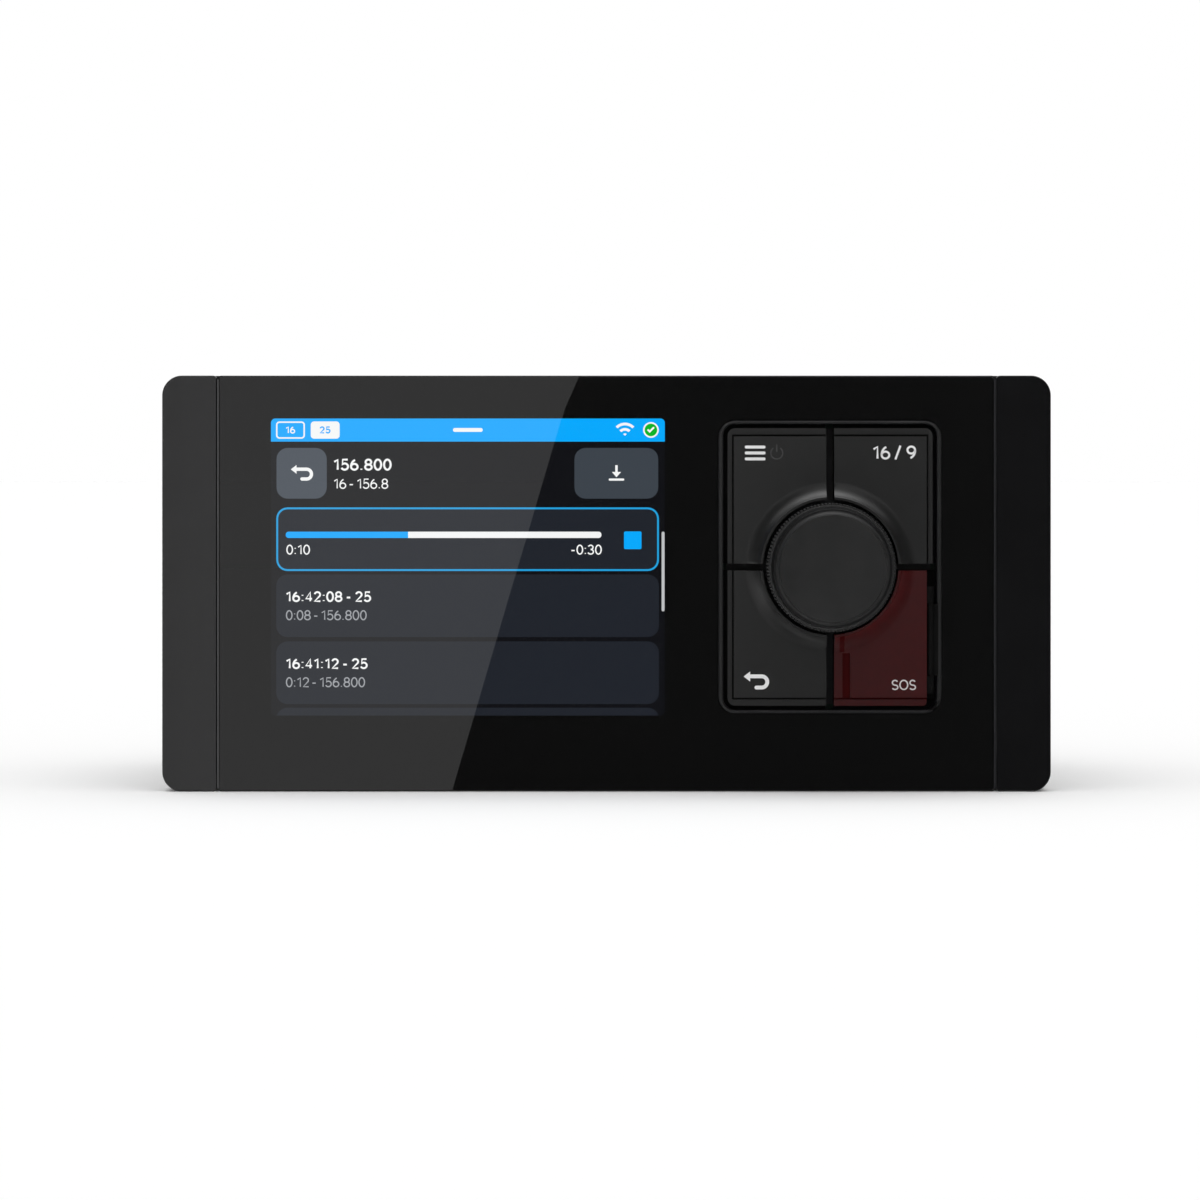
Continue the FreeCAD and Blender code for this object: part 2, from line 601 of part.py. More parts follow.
def circles(outline, radius, spots):
    """One circle at each spot."""
    for x, y in spots:
        outline.circle(radius, x, y)
    return outline


def hexagons(outline, half_width, spots):
    """One hexagon at each spot, measured across its flats."""
    for x, y in spots:
        outline.polygon(half_width, 6, x, y)
    return outline


def snap_hooks(outline, side_x, margin):
    """Rectangles of the two snap hooks of one trim cap, or of their slots with a margin."""
    for side_z in (-1, 1):
        outline.rectangle(S.snap_thickness + margin * 2, S.snap_width + margin * 2, 0,
                          MOUNT_X * side_x, S.snap_spread * side_z)
    return outline


def make_front_bezel():
    """Moulded flange with screw ears, display and keypad openings and the neck in the dash."""
    piece = Piece("front_bezel")
    piece.pad(piece.front(0).rectangle(PANEL_WIDTH, PANEL_HEIGHT, S.panel_corner), S.ear_depth)
    raised_half = GLASS_HALF + S.seam_gap + S.seam_rib
    step = S.flange_depth - S.ear_depth
    piece.pad(piece.front(S.ear_depth).rectangle(raised_half * 2, PANEL_HEIGHT, S.seam_corner), step)
    for side in (-1, 1):
        rib_middle = (raised_half - S.seam_rib / 2) * side
        rib_height = PANEL_HEIGHT - S.seam_corner * 2
        rib = piece.front(S.flange_depth).rectangle(S.seam_rib, rib_height, 0, rib_middle)
        piece.pad(rib, GLASS_FRONT - S.rib_setback - S.flange_depth)
    piece.pad(piece.front(-S.neck_length).rectangle(NECK_WIDTH, NECK_HEIGHT, S.neck_corner), S.neck_length)
    inside = piece.front(PLATE_BACK).rectangle(NECK_WIDTH - S.neck_wall * 2, NECK_HEIGHT - S.neck_wall * 2)
    piece.pocket(inside, PLATE_BACK + S.neck_length)
    screen = piece.front(S.flange_depth).rectangle(
        LCD_WIDTH + S.frame_gap * 2, LCD_HEIGHT + S.frame_gap * 2, 0, SCREEN_X, SCREEN_Z)
    piece.pocket(screen, S.plate_thickness)
    keypad = piece.front(S.flange_depth).rectangle(
        OPENING_HALF_X * 2, OPENING_HALF_Z * 2, OPENING_CORNER, KEYPAD_X, KEYPAD_Z)
    piece.pocket(keypad, S.plate_thickness)
    posts = piece.front(KEY_BOARD_FRONT)
    for x, z in key_board_spots():
        posts.rectangle(S.boss_radius * 2, S.boss_radius * 2, 0, x, z)
    piece.pad(posts, PLATE_BACK - KEY_BOARD_FRONT)
    post_front = S.post_length - S.neck_length
    piece.pad(four_corners(piece.front(-S.neck_length), S.post_radius, POST_X, POST_Z), S.post_length)
    pilot = circles(piece.front(PLATE_BACK), S.small_screw + S.screw_fit, key_board_spots())
    piece.pocket(pilot, PLATE_BACK - KEY_BOARD_FRONT)
    grip = four_corners(piece.front(post_front), S.case_screw + S.screw_fit, POST_X, POST_Z)
    piece.pocket(grip, S.post_length)
    groove_outer_x = NECK_WIDTH + (S.gasket_inset + S.gasket_width) * 2
    groove_outer_z = NECK_HEIGHT + (S.gasket_inset + S.gasket_width) * 2
    groove = piece.front(0).rectangle(
        groove_outer_x, groove_outer_z, S.neck_corner + S.gasket_inset + S.gasket_width)
    groove.rectangle(NECK_WIDTH + S.gasket_inset * 2, NECK_HEIGHT + S.gasket_inset * 2,
                     S.neck_corner + S.gasket_inset)
    piece.pocket(groove, S.gasket_depth, Reversed=True)
    piece.pocket(four_corners(piece.front(S.ear_depth), S.mount_hole, MOUNT_X, MOUNT_Z), S.ear_depth)
    slots = piece.front(S.ear_depth)
    for side_x in (-1, 1):
        snap_hooks(slots, side_x, S.snap_fit)
    piece.pocket(slots, S.snap_length + S.snap_fit)


def make_dash_gasket():
    """Soft band in the groove round the neck, flush with the seat plane."""
    piece = Piece("dash_gasket")
    slack = S.seam_gap
    inner = S.gasket_inset + slack
    outer = S.gasket_inset + S.gasket_width - slack
    band = piece.front(0).rectangle(NECK_WIDTH + outer * 2, NECK_HEIGHT + outer * 2, S.neck_corner + outer)
    band.rectangle(NECK_WIDTH + inner * 2, NECK_HEIGHT + inner * 2, S.neck_corner + inner)
    piece.pad(band, S.gasket_depth)


def make_front_glass():
    """Glossy panel over the bezel, open at the keypad."""
    piece = Piece("front_glass")
    pane = piece.front(GLASS_BACK).rectangle(GLASS_HALF * 2, PANEL_HEIGHT - S.glass_margin * 2, S.seam_corner)
    rim = S.rim_width + S.seam_gap
    bar = S.rim_bar + S.seam_gap
    pane.rectangle((OPENING_HALF_X + rim) * 2, (OPENING_HALF_Z + bar) * 2, OPENING_CORNER + rim,
                   KEYPAD_X, KEYPAD_Z)
    piece.pad(pane, S.glass_thickness)


def make_glass_tape():
    """Adhesive sheet between glass and bezel, open at the display and the keypad."""
    piece = Piece("glass_tape")
    margin = S.glass_margin
    glass_height = PANEL_HEIGHT - margin * 2
    band = piece.front(S.flange_depth).rectangle((GLASS_HALF - margin) * 2, glass_height - margin * 2)
    rim = S.rim_width + S.seam_gap + margin
    bar = S.rim_bar + S.seam_gap + margin
    band.rectangle((OPENING_HALF_X + rim) * 2, (OPENING_HALF_Z + bar) * 2, 0, KEYPAD_X, KEYPAD_Z)
    band.rectangle(LCD_WIDTH + S.frame_gap * 4, LCD_HEIGHT + S.frame_gap * 4, 0, SCREEN_X, SCREEN_Z)
    piece.pad(band, S.tape_thickness)


def make_trim_cap(label, side):
    """Snap-on cover of one pair of mounting screws: a shallow shell with two snap posts."""
    piece = Piece(label)
    inner, outer, half_h = CAP_INNER * side, PANEL_WIDTH / 2 * side, PANEL_HEIGHT / 2
    big, small = S.panel_corner, S.seam_corner
    bulge = 1 if side > 0 else -1
    points = [
        (inner + small * side, -half_h), (outer - big * side, -half_h), (outer, -half_h + big),
        (outer, half_h - big), (outer - big * side, half_h), (inner + small * side, half_h),
        (inner, half_h - small), (inner, -half_h + small),
    ]
    arcs = {1: big * bulge, 3: big * bulge, 5: small * bulge, 7: small * bulge}
    piece.pad(piece.front(S.ear_depth).profile(points, arcs), GLASS_FRONT - S.ear_depth)
    piece.chamfer(S.panel_edge / 2, at_level(GLASS_FRONT))
    wall = S.cap_wall
    hollow = piece.front(S.ear_depth).rectangle(
        S.cap_width - wall * 2, PANEL_HEIGHT - wall * 2, 0, (CAP_INNER + S.cap_width / 2) * side)
    piece.pocket(hollow, GLASS_FRONT - S.ear_depth - wall, Reversed=True)
    hooks = snap_hooks(piece.front(S.ear_depth - S.snap_length), side, Size.of(0.0))
    piece.pad(hooks, GLASS_FRONT - wall - S.ear_depth + S.snap_length)


def make_keypad_surround():
    """Raised rim round the keys, with the fixed barrel of the distress cover's hinge."""
    piece = Piece("keypad_surround", KEYPAD_X, 0, KEYPAD_Z)
    rim_x, rim_z = OPENING_HALF_X + S.rim_width, OPENING_HALF_Z + S.rim_bar
    ring = piece.front(S.flange_depth).rectangle(rim_x * 2, rim_z * 2, OPENING_CORNER + S.rim_width)
    ring.rectangle(OPENING_HALF_X * 2, OPENING_HALF_Z * 2, OPENING_CORNER)
    piece.pad(ring, RIM_FRONT - S.flange_depth)
    piece.chamfer(S.rim_chamfer, at_level(RIM_FRONT))
    barrel_top = -(S.hinge_top + S.knuckle_length + S.knuckle_gap)
    barrel_length = HINGE_LENGTH - (S.knuckle_length + S.knuckle_gap) * 2
    barrel = piece.flat(barrel_top - barrel_length).circle(S.hinge_barrel, HINGE_X, -HINGE_LEVEL)
    piece.pad(barrel, barrel_length)
    web = piece.flat(barrel_top - barrel_length).block(
        HINGE_X, OPENING_HALF_X + S.rim_chamfer, -HINGE_LEVEL, -(GLASS_FRONT - S.rim_height))
    piece.pad(web, barrel_length)
    bore = piece.flat(barrel_top).circle(S.hinge_pin + S.hinge_fit, HINGE_X, -HINGE_LEVEL)
    piece.pocket(bore, barrel_length)


def quadrant(outline, side_x, side_z, inset_x, inset_z, corner):
    """Quarter of the keypad between the knob centre and its outer edges, less an inset."""
    left, low = KEYPAD_HALF_X - inset_x, KEYPAD_HALF_Z - inset_z
    corner = Size.of(corner)
    points = [
        (Size.of(0.0), Size.of(0.0)), (left * side_x, Size.of(0.0)), (left * side_x, (low - corner) * side_z),
        ((left - corner) * side_x, low * side_z), (Size.of(0.0), low * side_z),
    ]
    arcs = {2: corner * (side_x * side_z)} if corner.value else None
    if not corner.value:
        points.pop(3)
        points[2] = (left * side_x, low * side_z)
    return outline.profile(points, arcs)


def collar_curve():
    """Radius of the concave curve that leaves the key face level and ends at the crest."""
    rise = S.collar_height - S.face_height
    run = COLLAR_FOOT - COLLAR_RADIUS - S.collar_crest
    return (run * run + rise * rise) / (rise * 2)


def add_collar(piece, back):
    """Flared collar round the knob: a full turn, later cut back to its quarter."""
    inside = COLLAR_RADIUS - S.key_gap_z
    crest = COLLAR_RADIUS + S.collar_crest
    profile = piece.flat(0).profile([
        (inside, -back), (inside, -COLLAR_FRONT), (crest, -COLLAR_FRONT),
        (COLLAR_FOOT, -FACE_FRONT), (COLLAR_FOOT, -back),
    ], {2: collar_curve() * -1})
    return profile


def trim_quarter(piece, front, back, side_x, side_z):
    """Remove what a full turn left outside the quarter."""
    depth = front - back
    far_x, far_z = KEYPAD_HALF_X * 2 * side_x, KEYPAD_HALF_Z * 2 * side_z
    half_x, half_z = S.key_gap_x / 2 * side_x, S.key_gap_z / 2 * side_z
    waste = piece.front(front).profile([
        (-far_x, -far_z), (far_x, -far_z), (far_x, half_z),
        (half_x, half_z), (half_x, far_z), (-far_x, far_z),
    ])
    piece.pocket(waste, depth)
    piece.pocket(piece.front(front).circle(COLLAR_RADIUS), depth)


def add_lip_groove(piece, side_x, side_z):
    """Groove between the outer lip and the raised face, along both outer edges."""
    outer_x, outer_z = (KEYPAD_HALF_X - S.lip_side) * side_x, (KEYPAD_HALF_Z - S.lip_width) * side_z
    inner_x, inner_z = outer_x - S.lip_groove * side_x, outer_z - S.lip_groove * side_z
    zero = Size.of(0.0)
    groove = piece.front(LIP_FRONT).profile([
        (outer_x, zero), (outer_x, outer_z), (zero, outer_z),
        (zero, inner_z), (inner_x, inner_z), (inner_x, zero),
    ])
    piece.pocket(groove, S.lip_groove)


def add_key_back(piece, side_x, side_z):
    """Flange that keeps a key behind the bezel."""
    flange = quadrant(piece.front(FLANGE_BACK), side_x, side_z, -S.key_flange, -S.key_flange, OPENING_CORNER)
    piece.pad(flange, S.key_flange_thickness)


def make_key(label, side_x, side_z):
    """Key in one quarter of the keypad, with lip, raised face and its share of the collar."""
    piece = Piece(label, KEYPAD_X, 0, KEYPAD_Z)
    add_key_back(piece, side_x, side_z)
    body = quadrant(piece.front(PLATE_BACK), side_x, side_z, Size.of(0.0), Size.of(0.0), S.key_corner)
    piece.pad(body, LIP_FRONT - PLATE_BACK)
    add_lip_groove(piece, side_x, side_z)
    inset_x, inset_z = S.lip_side + S.lip_groove, S.lip_width + S.lip_groove
    face = quadrant(piece.front(LIP_FRONT - S.lip_groove), side_x, side_z, inset_x, inset_z, Size.of(0.0))
    piece.pad(face, FACE_FRONT - LIP_FRONT + S.lip_groove)
    piece.spin(add_collar(piece, PLATE_BACK))
    trim_quarter(piece, COLLAR_FRONT, FLANGE_BACK, side_x, side_z)
    plunger = piece.front(PLUNGER_BACK).circle(S.plunger_radius, PLUNGER_X * side_x, PLUNGER_Z * side_z)
    piece.pad(plunger, S.plunger_length)


def make_distress_button():
    """Plain button under the cover, with the same flange and plunger as the keys."""
    piece = Piece("distress_button", KEYPAD_X, 0, KEYPAD_Z)
    add_key_back(piece, 1, -1)
    inset = S.lip_width + S.lip_groove + S.cover_wall + S.button_inset
    column = quadrant(piece.front(PLATE_BACK), 1, -1, inset, inset, S.key_corner)
    piece.pad(column, BUTTON_FRONT - PLATE_BACK)
    trim_quarter(piece, BUTTON_FRONT, FLANGE_BACK, 1, -1)
    margin = S.cover_wall + S.button_inset
    zero = Size.of(0.0)
    strips = piece.front(BUTTON_FRONT).profile([
        (zero, zero), (KEYPAD_HALF_X * 2, zero), (KEYPAD_HALF_X * 2, -margin * 2),
        (margin * 2, -margin * 2), (margin * 2, -KEYPAD_HALF_Z * 2), (zero, -KEYPAD_HALF_Z * 2),
    ])
    piece.pocket(strips, BUTTON_FRONT - PLATE_BACK)
    piece.pocket(piece.front(BUTTON_FRONT).circle(COVER_FOOT + S.button_inset), BUTTON_FRONT - PLATE_BACK)
    plunger = piece.front(PLUNGER_BACK).circle(S.plunger_radius, PLUNGER_X, -PLUNGER_Z)
    piece.pad(plunger, S.plunger_length)


def make_distress_cover():
    """Translucent flap shaped like a key, hollow behind, with two hinge knuckles."""
    piece = Piece("distress_cover", KEYPAD_X, 0, KEYPAD_Z)
    narrower = KEYPAD_HALF_X - COVER_EDGE
    lip = quadrant(piece.front(COVER_LIP_BACK), 1, -1, narrower, Size.of(0.0), S.key_corner / 2)
    piece.pad(lip, S.cover_wall)
    inset = S.lip_width + S.lip_groove
    face = quadrant(piece.front(LIP_FRONT), 1, -1, narrower, inset, Size.of(0.0))
    piece.pad(face, FACE_FRONT - LIP_FRONT)
    piece.spin(add_collar(piece, COVER_LIP_BACK))
    trim_quarter(piece, COLLAR_FRONT, COVER_LIP_BACK, 1, -1)
    hollow_x, hollow_z = COVER_EDGE - S.cover_wall, KEYPAD_HALF_Z - inset - S.cover_wall
    edge_x, edge_z = S.key_gap_x / 2 + S.cover_wall, S.key_gap_z / 2 + S.cover_wall
    top_x = circle_reach(COVER_FOOT, edge_z)
    left_z = circle_reach(COVER_FOOT, edge_x)
    cavity = piece.front(COVER_LIP_BACK).profile([
        (top_x, -edge_z), (edge_x, -left_z), (edge_x, -hollow_z), (hollow_x, -hollow_z), (hollow_x, -edge_z),
    ], {0: COVER_FOOT * -1})
    piece.pocket(cavity, COVER_INNER - COVER_LIP_BACK, Reversed=True)
    top_knuckle = -(S.hinge_top + S.knuckle_length)
    low_knuckle = -(S.hinge_top + HINGE_LENGTH)
    for low_end in (top_knuckle, low_knuckle):
        knuckle = piece.flat(low_end).circle(S.hinge_barrel, HINGE_X, -HINGE_LEVEL)
        piece.pad(knuckle, S.knuckle_length)
        arm = piece.flat(low_end).block(
            COVER_EDGE - S.cover_wall / 2, HINGE_X, -(HINGE_LEVEL + S.hinge_barrel), -HINGE_LEVEL)
        piece.pad(arm, S.knuckle_length)
    bore = piece.flat(-S.hinge_top).circle(S.hinge_pin + S.hinge_fit, HINGE_X, -HINGE_LEVEL)
    piece.pocket(bore, HINGE_LENGTH)
    add_cover_grooves(piece, inset)


def add_cover_grooves(piece, inset):
    """Grooves beside the left lip and along the foot of the cover's raised face."""
    foot = inset - KEYPAD_HALF_Z
    left = S.key_gap_x / 2 + S.cover_side_lip
    side = piece.front(FACE_FRONT).block(left, left + S.cover_side_groove, foot, -COLLAR_FOOT)
    piece.pocket(side, S.lip_groove)
    low = piece.front(LIP_FRONT).block(S.key_gap_x / 2, COVER_EDGE, foot - S.lip_groove, foot)
    piece.pocket(low, S.lip_groove)


def circle_reach(radius, across):
    """How far a circle reaches at a distance to one side of its centre."""
    height = math.sqrt(radius.value ** 2 - across.value ** 2)
    return Size(height, f"sqrt({radius.formula} ^ 2 - {across.formula} ^ 2)")


def make_hinge_pin():
    """Pin of the distress cover, through the fixed barrel and both knuckles."""
    piece = Piece("distress_cover_pin", KEYPAD_X, 0, KEYPAD_Z)
    rod = piece.flat(-(S.hinge_top + HINGE_LENGTH)).circle(S.hinge_pin, HINGE_X, -HINGE_LEVEL)
    piece.pad(rod, HINGE_LENGTH)


def make_knob_cap():
    """Hollow knob with a tapered side, a rounded edge and a hub for the shaft."""
    piece = Piece("knob_cap", KEYPAD_X, 0, KEYPAD_Z)
    rear = -(GLASS_FRONT + S.knob_rear_gap)
    shoulder = rear - S.grip_height
    tip = -(GLASS_FRONT + S.knob_height)
    ring_inner = GRIP_RADIUS - S.knob_wall * 1.5
    wall_inner = KNOB_TOP - S.knob_wall * 2
    hub_rear = rear - S.knob_rear_gap
    roof = tip + S.knob_wall
    flat_edge = KNOB_TOP - S.knob_edge
    points = [
        (S.knob_boss, hub_rear), (S.knob_boss, roof), (wall_inner, roof), (wall_inner, rear),
        (ring_inner, rear), (ring_inner, shoulder), (KNOB_BASE, shoulder), (KNOB_TOP, tip + S.knob_edge),
        (flat_edge, tip), (Size.of(0.0), tip), (Size.of(0.0), hub_rear),
    ]
    profile = piece.flat(0).profile(points, {7: S.knob_edge})
    piece.spin(profile)
    bore = piece.front(-hub_rear).circle(S.shaft_radius + S.screw_fit)
    piece.pocket(bore, S.shaft_reach - S.knob_rear_gap * 2 + S.knob_edge, Reversed=True)


def make_knob_grip_ring():
    """Ring moulded round the knob's skirt, with fine knurls all round."""
    piece = Piece("knob_grip_ring", KEYPAD_X, 0, KEYPAD_Z)
    rear = GLASS_FRONT + S.knob_rear_gap
    ring = piece.front(rear).circle(GRIP_RADIUS)
    ring.circle(GRIP_RADIUS - S.knob_wall * 1.5)
    piece.pad(ring, S.grip_height)
    bite, radius = S.grip_bite, GRIP_RADIUS
    notch = piece.front(rear).profile([
        (radius - bite, 0.0), (radius + bite, -bite * 2), (radius + bite, bite * 2)])
    cut = piece.pocket(notch, S.grip_height, Reversed=True)
    axis = next(f for f in piece.body.Origin.OriginFeatures if f.Role == "Y_Axis")
    piece.repeat("PolarPattern", cut, (axis, [""]), Angle=360.0, Occurrences=S.grip_teeth)


def make_encoder():
    """Push-and-turn encoder: housing with bush, rotor that only turns, and the sliding shaft."""
    body_front = KEY_BOARD_FRONT + S.encoder_depth
    bush_front = body_front + S.bush_length
    running = S.shaft_radius + S.shaft_fit
    body = Piece("encoder_body", KEYPAD_X, 0, KEYPAD_Z)
    box = body.front(KEY_BOARD_FRONT).rectangle(S.encoder_size, S.encoder_size, S.encoder_wall)
    body.pad(box, S.encoder_depth)
    body.pad(body.front(body_front).circle(S.bush_radius), S.bush_length)
    chamber = body.front(KEY_BOARD_FRONT + S.encoder_wall).circle(S.rotor_radius + S.shaft_fit * 5)
    body.pocket(chamber, S.encoder_depth - S.encoder_wall * 2, Reversed=True)
    body.pocket(body.front(bush_front).circle(running), S.bush_length + S.encoder_wall)
    rotor = Piece("encoder_rotor", KEYPAD_X, 0, KEYPAD_Z)
    rotor_back = body_front - S.encoder_wall - S.rotor_thickness - S.shaft_fit
    disc = rotor.front(rotor_back).circle(S.rotor_radius)
    disc.circle(running)
    rotor.pad(disc, S.rotor_thickness)
    shaft = Piece("encoder_shaft", KEYPAD_X, 0, KEYPAD_Z)
    shaft_back = KEY_BOARD_FRONT + S.encoder_wall + S.key_travel + S.shaft_fit * 5
    shaft_front = GLASS_FRONT + S.shaft_reach
    shaft.pad(shaft.front(shaft_back).circle(S.shaft_radius), shaft_front - shaft_back)
    flat = shaft.front(shaft_front).block(
        -S.shaft_radius, S.shaft_radius, S.shaft_radius - S.shaft_flat, S.shaft_radius * 2)
    shaft.pocket(flat, S.shaft_reach - S.knob_rear_gap * 2)


def make_keypad_mat():
    """Silicone mat with a dome under each plunger, open round the encoder."""
    piece = Piece("keypad_mat", KEYPAD_X, 0, KEYPAD_Z)
    mat = piece.front(KEY_BOARD_FRONT).rectangle(S.keypad_width, KEYPAD_HALF_Z * 2, S.key_corner)
    opening = S.encoder_size + S.mat_thickness
    mat.rectangle(opening, opening, S.encoder_wall)
    piece.pad(mat, S.mat_thickness)
    domes = four_corners(piece.front(MAT_FRONT), S.mat_dome, PLUNGER_X, PLUNGER_Z)
    piece.pad(domes, PLUNGER_BACK - MAT_FRONT)


def make_key_board():
    """Circuit board behind the keys, screwed to the bezel's posts."""
    piece = Piece("key_board")
    half_w, half_h = KEYPAD_HALF_X + S.key_board_side, KEYPAD_HALF_Z + S.key_board_end
    board = piece.front(KEY_BOARD_BACK).rectangle(half_w * 2, half_h * 2, 0, KEYPAD_X, KEYPAD_Z)
    piece.pad(circles(board, S.small_screw + S.screw_fit, key_board_spots()), S.board_thickness)


def make_display():
    """Liquid crystal panel, backlight and the pressed frame round them."""
    for label, back, thickness in (
            ("display_panel", LCD_BACK, S.lcd_thickness),
            ("display_backlight", BACKLIGHT_BACK, S.backlight_thickness)):
        piece = Piece(label)
        piece.pad(piece.front(back).rectangle(LCD_WIDTH, LCD_HEIGHT, 0, SCREEN_X, SCREEN_Z), thickness)
    frame = Piece("display_frame")
    rim = (S.frame_gap + S.frame_wall) * 2
    frame.pad(frame.front(FRAME_BACK).rectangle(LCD_WIDTH + rim, LCD_HEIGHT + rim, 0, SCREEN_X, SCREEN_Z),
              PLATE_BACK - FRAME_BACK)
    tray = frame.front(PLATE_BACK).rectangle(
        LCD_WIDTH + S.frame_gap * 2, LCD_HEIGHT + S.frame_gap * 2, 0, SCREEN_X, SCREEN_Z)
    frame.pocket(tray, PLATE_BACK - BACKLIGHT_BACK)


def make_keypad_screws():
    """Four hexagon-head screws that enter the bezel's posts from behind the keypad board."""
    piece = Piece("keypad_screws")
    shanks = hexagons(piece.front(KEY_BOARD_BACK), S.small_screw * HEXAGON_FIT, key_board_spots())
    piece.pad(shanks, PLATE_BACK - KEY_BOARD_BACK)
    heads = piece.front(KEY_BOARD_BACK - S.head_height)
    piece.pad(hexagons(heads, S.boss_radius * HEXAGON_FIT, key_board_spots()), S.head_height)


def make_ribbon(label, x, start_level, height):
    """Flat cable that leaves a board's back, bends down and plugs in on the main board."""
    piece = Piece(label, x)
    thin, bend = S.ribbon_thickness, S.ribbon_bend
    start = -start_level
    plug_top = BOARD_TOP + S.plug_height
    inner, outer = PLUG_ROW_Y - thin / 2, PLUG_ROW_Y + thin / 2
    strip = piece.side(-S.ribbon_width / 2).profile([
        (start, height - thin), (inner - bend, height - thin), (inner, height - thin - bend),
        (inner, plug_top), (outer, plug_top), (outer, height - thin - bend),
        (inner - bend, height), (start, height),
    ], {1: bend * -1, 5: bend + thin})
    piece.pad(strip, S.ribbon_width)


def make_board_connectors():
    """Two plugs on the main board for the flat cables."""
    piece = Piece("board_connectors")
    for x in (SCREEN_X, KEYPAD_X):
        plug = piece.flat(BOARD_TOP).rectangle(S.plug_width, S.plug_length, 0, x, PLUG_ROW_Y)
        piece.pad(plug, S.plug_height)


def amplifier_block(outline, margin):
    """Rectangle round the power amplifier's footprint."""
    return outline.rectangle(S.amplifier_width + margin * 2, S.amplifier_length + margin * 2, 0,
                             S.amplifier_x, BOARD_MIDDLE_Y)


def make_main_board():
    """Main board with its screw holes and the cut-out for the heat spreader."""
    piece = Piece("main_board")
    board = piece.flat(BOARD_BOTTOM).rectangle(BOARD_WIDTH, BOARD_LENGTH, 0, 0, BOARD_MIDDLE_Y)
    circles(board, S.small_screw + S.screw_fit, main_board_spots())
    amplifier_block(board, S.spreader_margin + S.board_cut_gap)
    piece.pad(board, S.board_thickness)


def make_radio_modules():
    """Heat spreader, power amplifier, receiver screening can and alarm sounder."""
    spreader = Piece("heat_spreader")
    spreader.pad(amplifier_block(spreader.flat(SPREADER_BOTTOM), S.spreader_margin), S.spreader_thickness)
    amplifier = Piece("power_amplifier")
    amplifier.pad(amplifier_block(amplifier.flat(BOARD_TOP), Size.of(0.0)), S.amplifier_height)
    shield = Piece("receiver_shield")
    can = shield.flat(BOARD_TOP).rectangle(S.shield_width, S.shield_length, 0, S.shield_x, BOARD_MIDDLE_Y)
    shield.pad(can, S.shield_height)
    walls = S.shield_wall * 2
    hollow = shield.flat(BOARD_TOP).rectangle(
        S.shield_width - walls, S.shield_length - walls, 0, S.shield_x, BOARD_MIDDLE_Y)
    shield.pocket(hollow, S.shield_height - S.shield_wall, Reversed=True)
    sounder = Piece("alarm_sounder")
    sounder_y = S.board_start + S.sounder_radius + S.board_post_inset / 2
    sounder.pad(sounder.flat(BOARD_TOP).circle(S.sounder_radius, S.sounder_x, sounder_y), S.sounder_height)


def make_board_screws():
    """Four screws that hold the main board to the posts of the housing."""
    piece = Piece("board_screws")
    grip = S.case_screw_grip
    piece.pad(hexagons(piece.flat(BOARD_TOP - grip), S.small_screw * HEXAGON_FIT, main_board_spots()), grip)
    heads = hexagons(piece.flat(BOARD_TOP), S.boss_radius * HEXAGON_FIT, main_board_spots())
    piece.pad(heads, S.head_height)


def make_rear_housing():
    """Die-cast box that tapers to the rear, with fins, corner screw channels and inner posts."""
    piece = Piece("rear_housing")
    front = piece.front(HOUSING_FRONT).rectangle(NECK_WIDTH, NECK_HEIGHT, S.neck_corner)
    rear = piece.front(HOUSING_REAR).rectangle(
        NECK_WIDTH - S.housing_taper * 2, NECK_HEIGHT - S.housing_taper * 2, S.neck_corner)
    loft = piece.feature("AdditiveLoft", front)
    loft.Sections = [rear.sketch]
    cavity = piece.front(HOUSING_FRONT).rectangle(CAVITY_HALF_X * 2, CAVITY_HALF_Z * 2, S.neck_corner)
    piece.pocket(cavity, S.housing_depth - S.rear_wall)
    columns = four_corners(piece.front(HOUSING_REAR), S.post_radius, POST_X, POST_Z)
    piece.pad(columns, S.housing_depth)
    channels = four_corners(piece.front(HOUSING_REAR), S.case_channel, POST_X, POST_Z)
    piece.pocket(channels, S.housing_depth - S.case_screw_seat, Reversed=True)
    shanks = four_corners(piece.front(HOUSING_FRONT), S.case_screw + S.screw_fit, POST_X, POST_Z)
    piece.pocket(shanks, S.case_screw_seat)
    slot = FIN_SPAN / (S.fin_count - 1) - S.fin_thickness
    first = FIN_SPAN / -2
    root, crest = NECK_HEIGHT / 2 - S.housing_taper - S.fin_height, NECK_HEIGHT
    slots = piece.front(HOUSING_REAR)
    slots.block(first - slot / 2, first + slot / 2, root, crest)
    slots.block(first - slot / 2, first + slot / 2, -crest, -root)
    cut = piece.pocket(slots, S.housing_depth - S.fin_run_out, Reversed=True)
    piece.repeat("LinearPattern", cut, (slots.sketch, ["H_Axis"]),
                 Length=FIN_SPAN, Occurrences=S.fin_count)
    floor = -CAVITY_HALF_Z - S.neck_wall / 2
    posts = piece.flat(floor)
    for x, y in main_board_spots():
        posts.rectangle(S.board_post * 2, S.board_post * 2, 0, x, y)
    piece.pad(posts, BOARD_BOTTOM - floor)
    piece.pad(amplifier_block(piece.flat(floor), S.spreader_margin), SPREADER_BOTTOM - floor)
    pilot = circles(piece.flat(BOARD_BOTTOM), S.small_screw + S.screw_fit, main_board_spots())
    piece.pocket(pilot, S.case_screw_grip)
    holes = piece.front(INNER_REAR)
    for socket in SOCKETS.values():
        holes.circle(socket["radius"] - S.socket_neck_step + S.screw_fit, socket["x"], S.socket_z)
    holes.circle(S.ground_radius + S.screw_fit, LOW_ROW_X, LOW_ROW_Z)
    holes.circle(S.vent_neck + S.screw_fit, -LOW_ROW_X, LOW_ROW_Z)
    piece.pocket(holes, S.rear_wall)


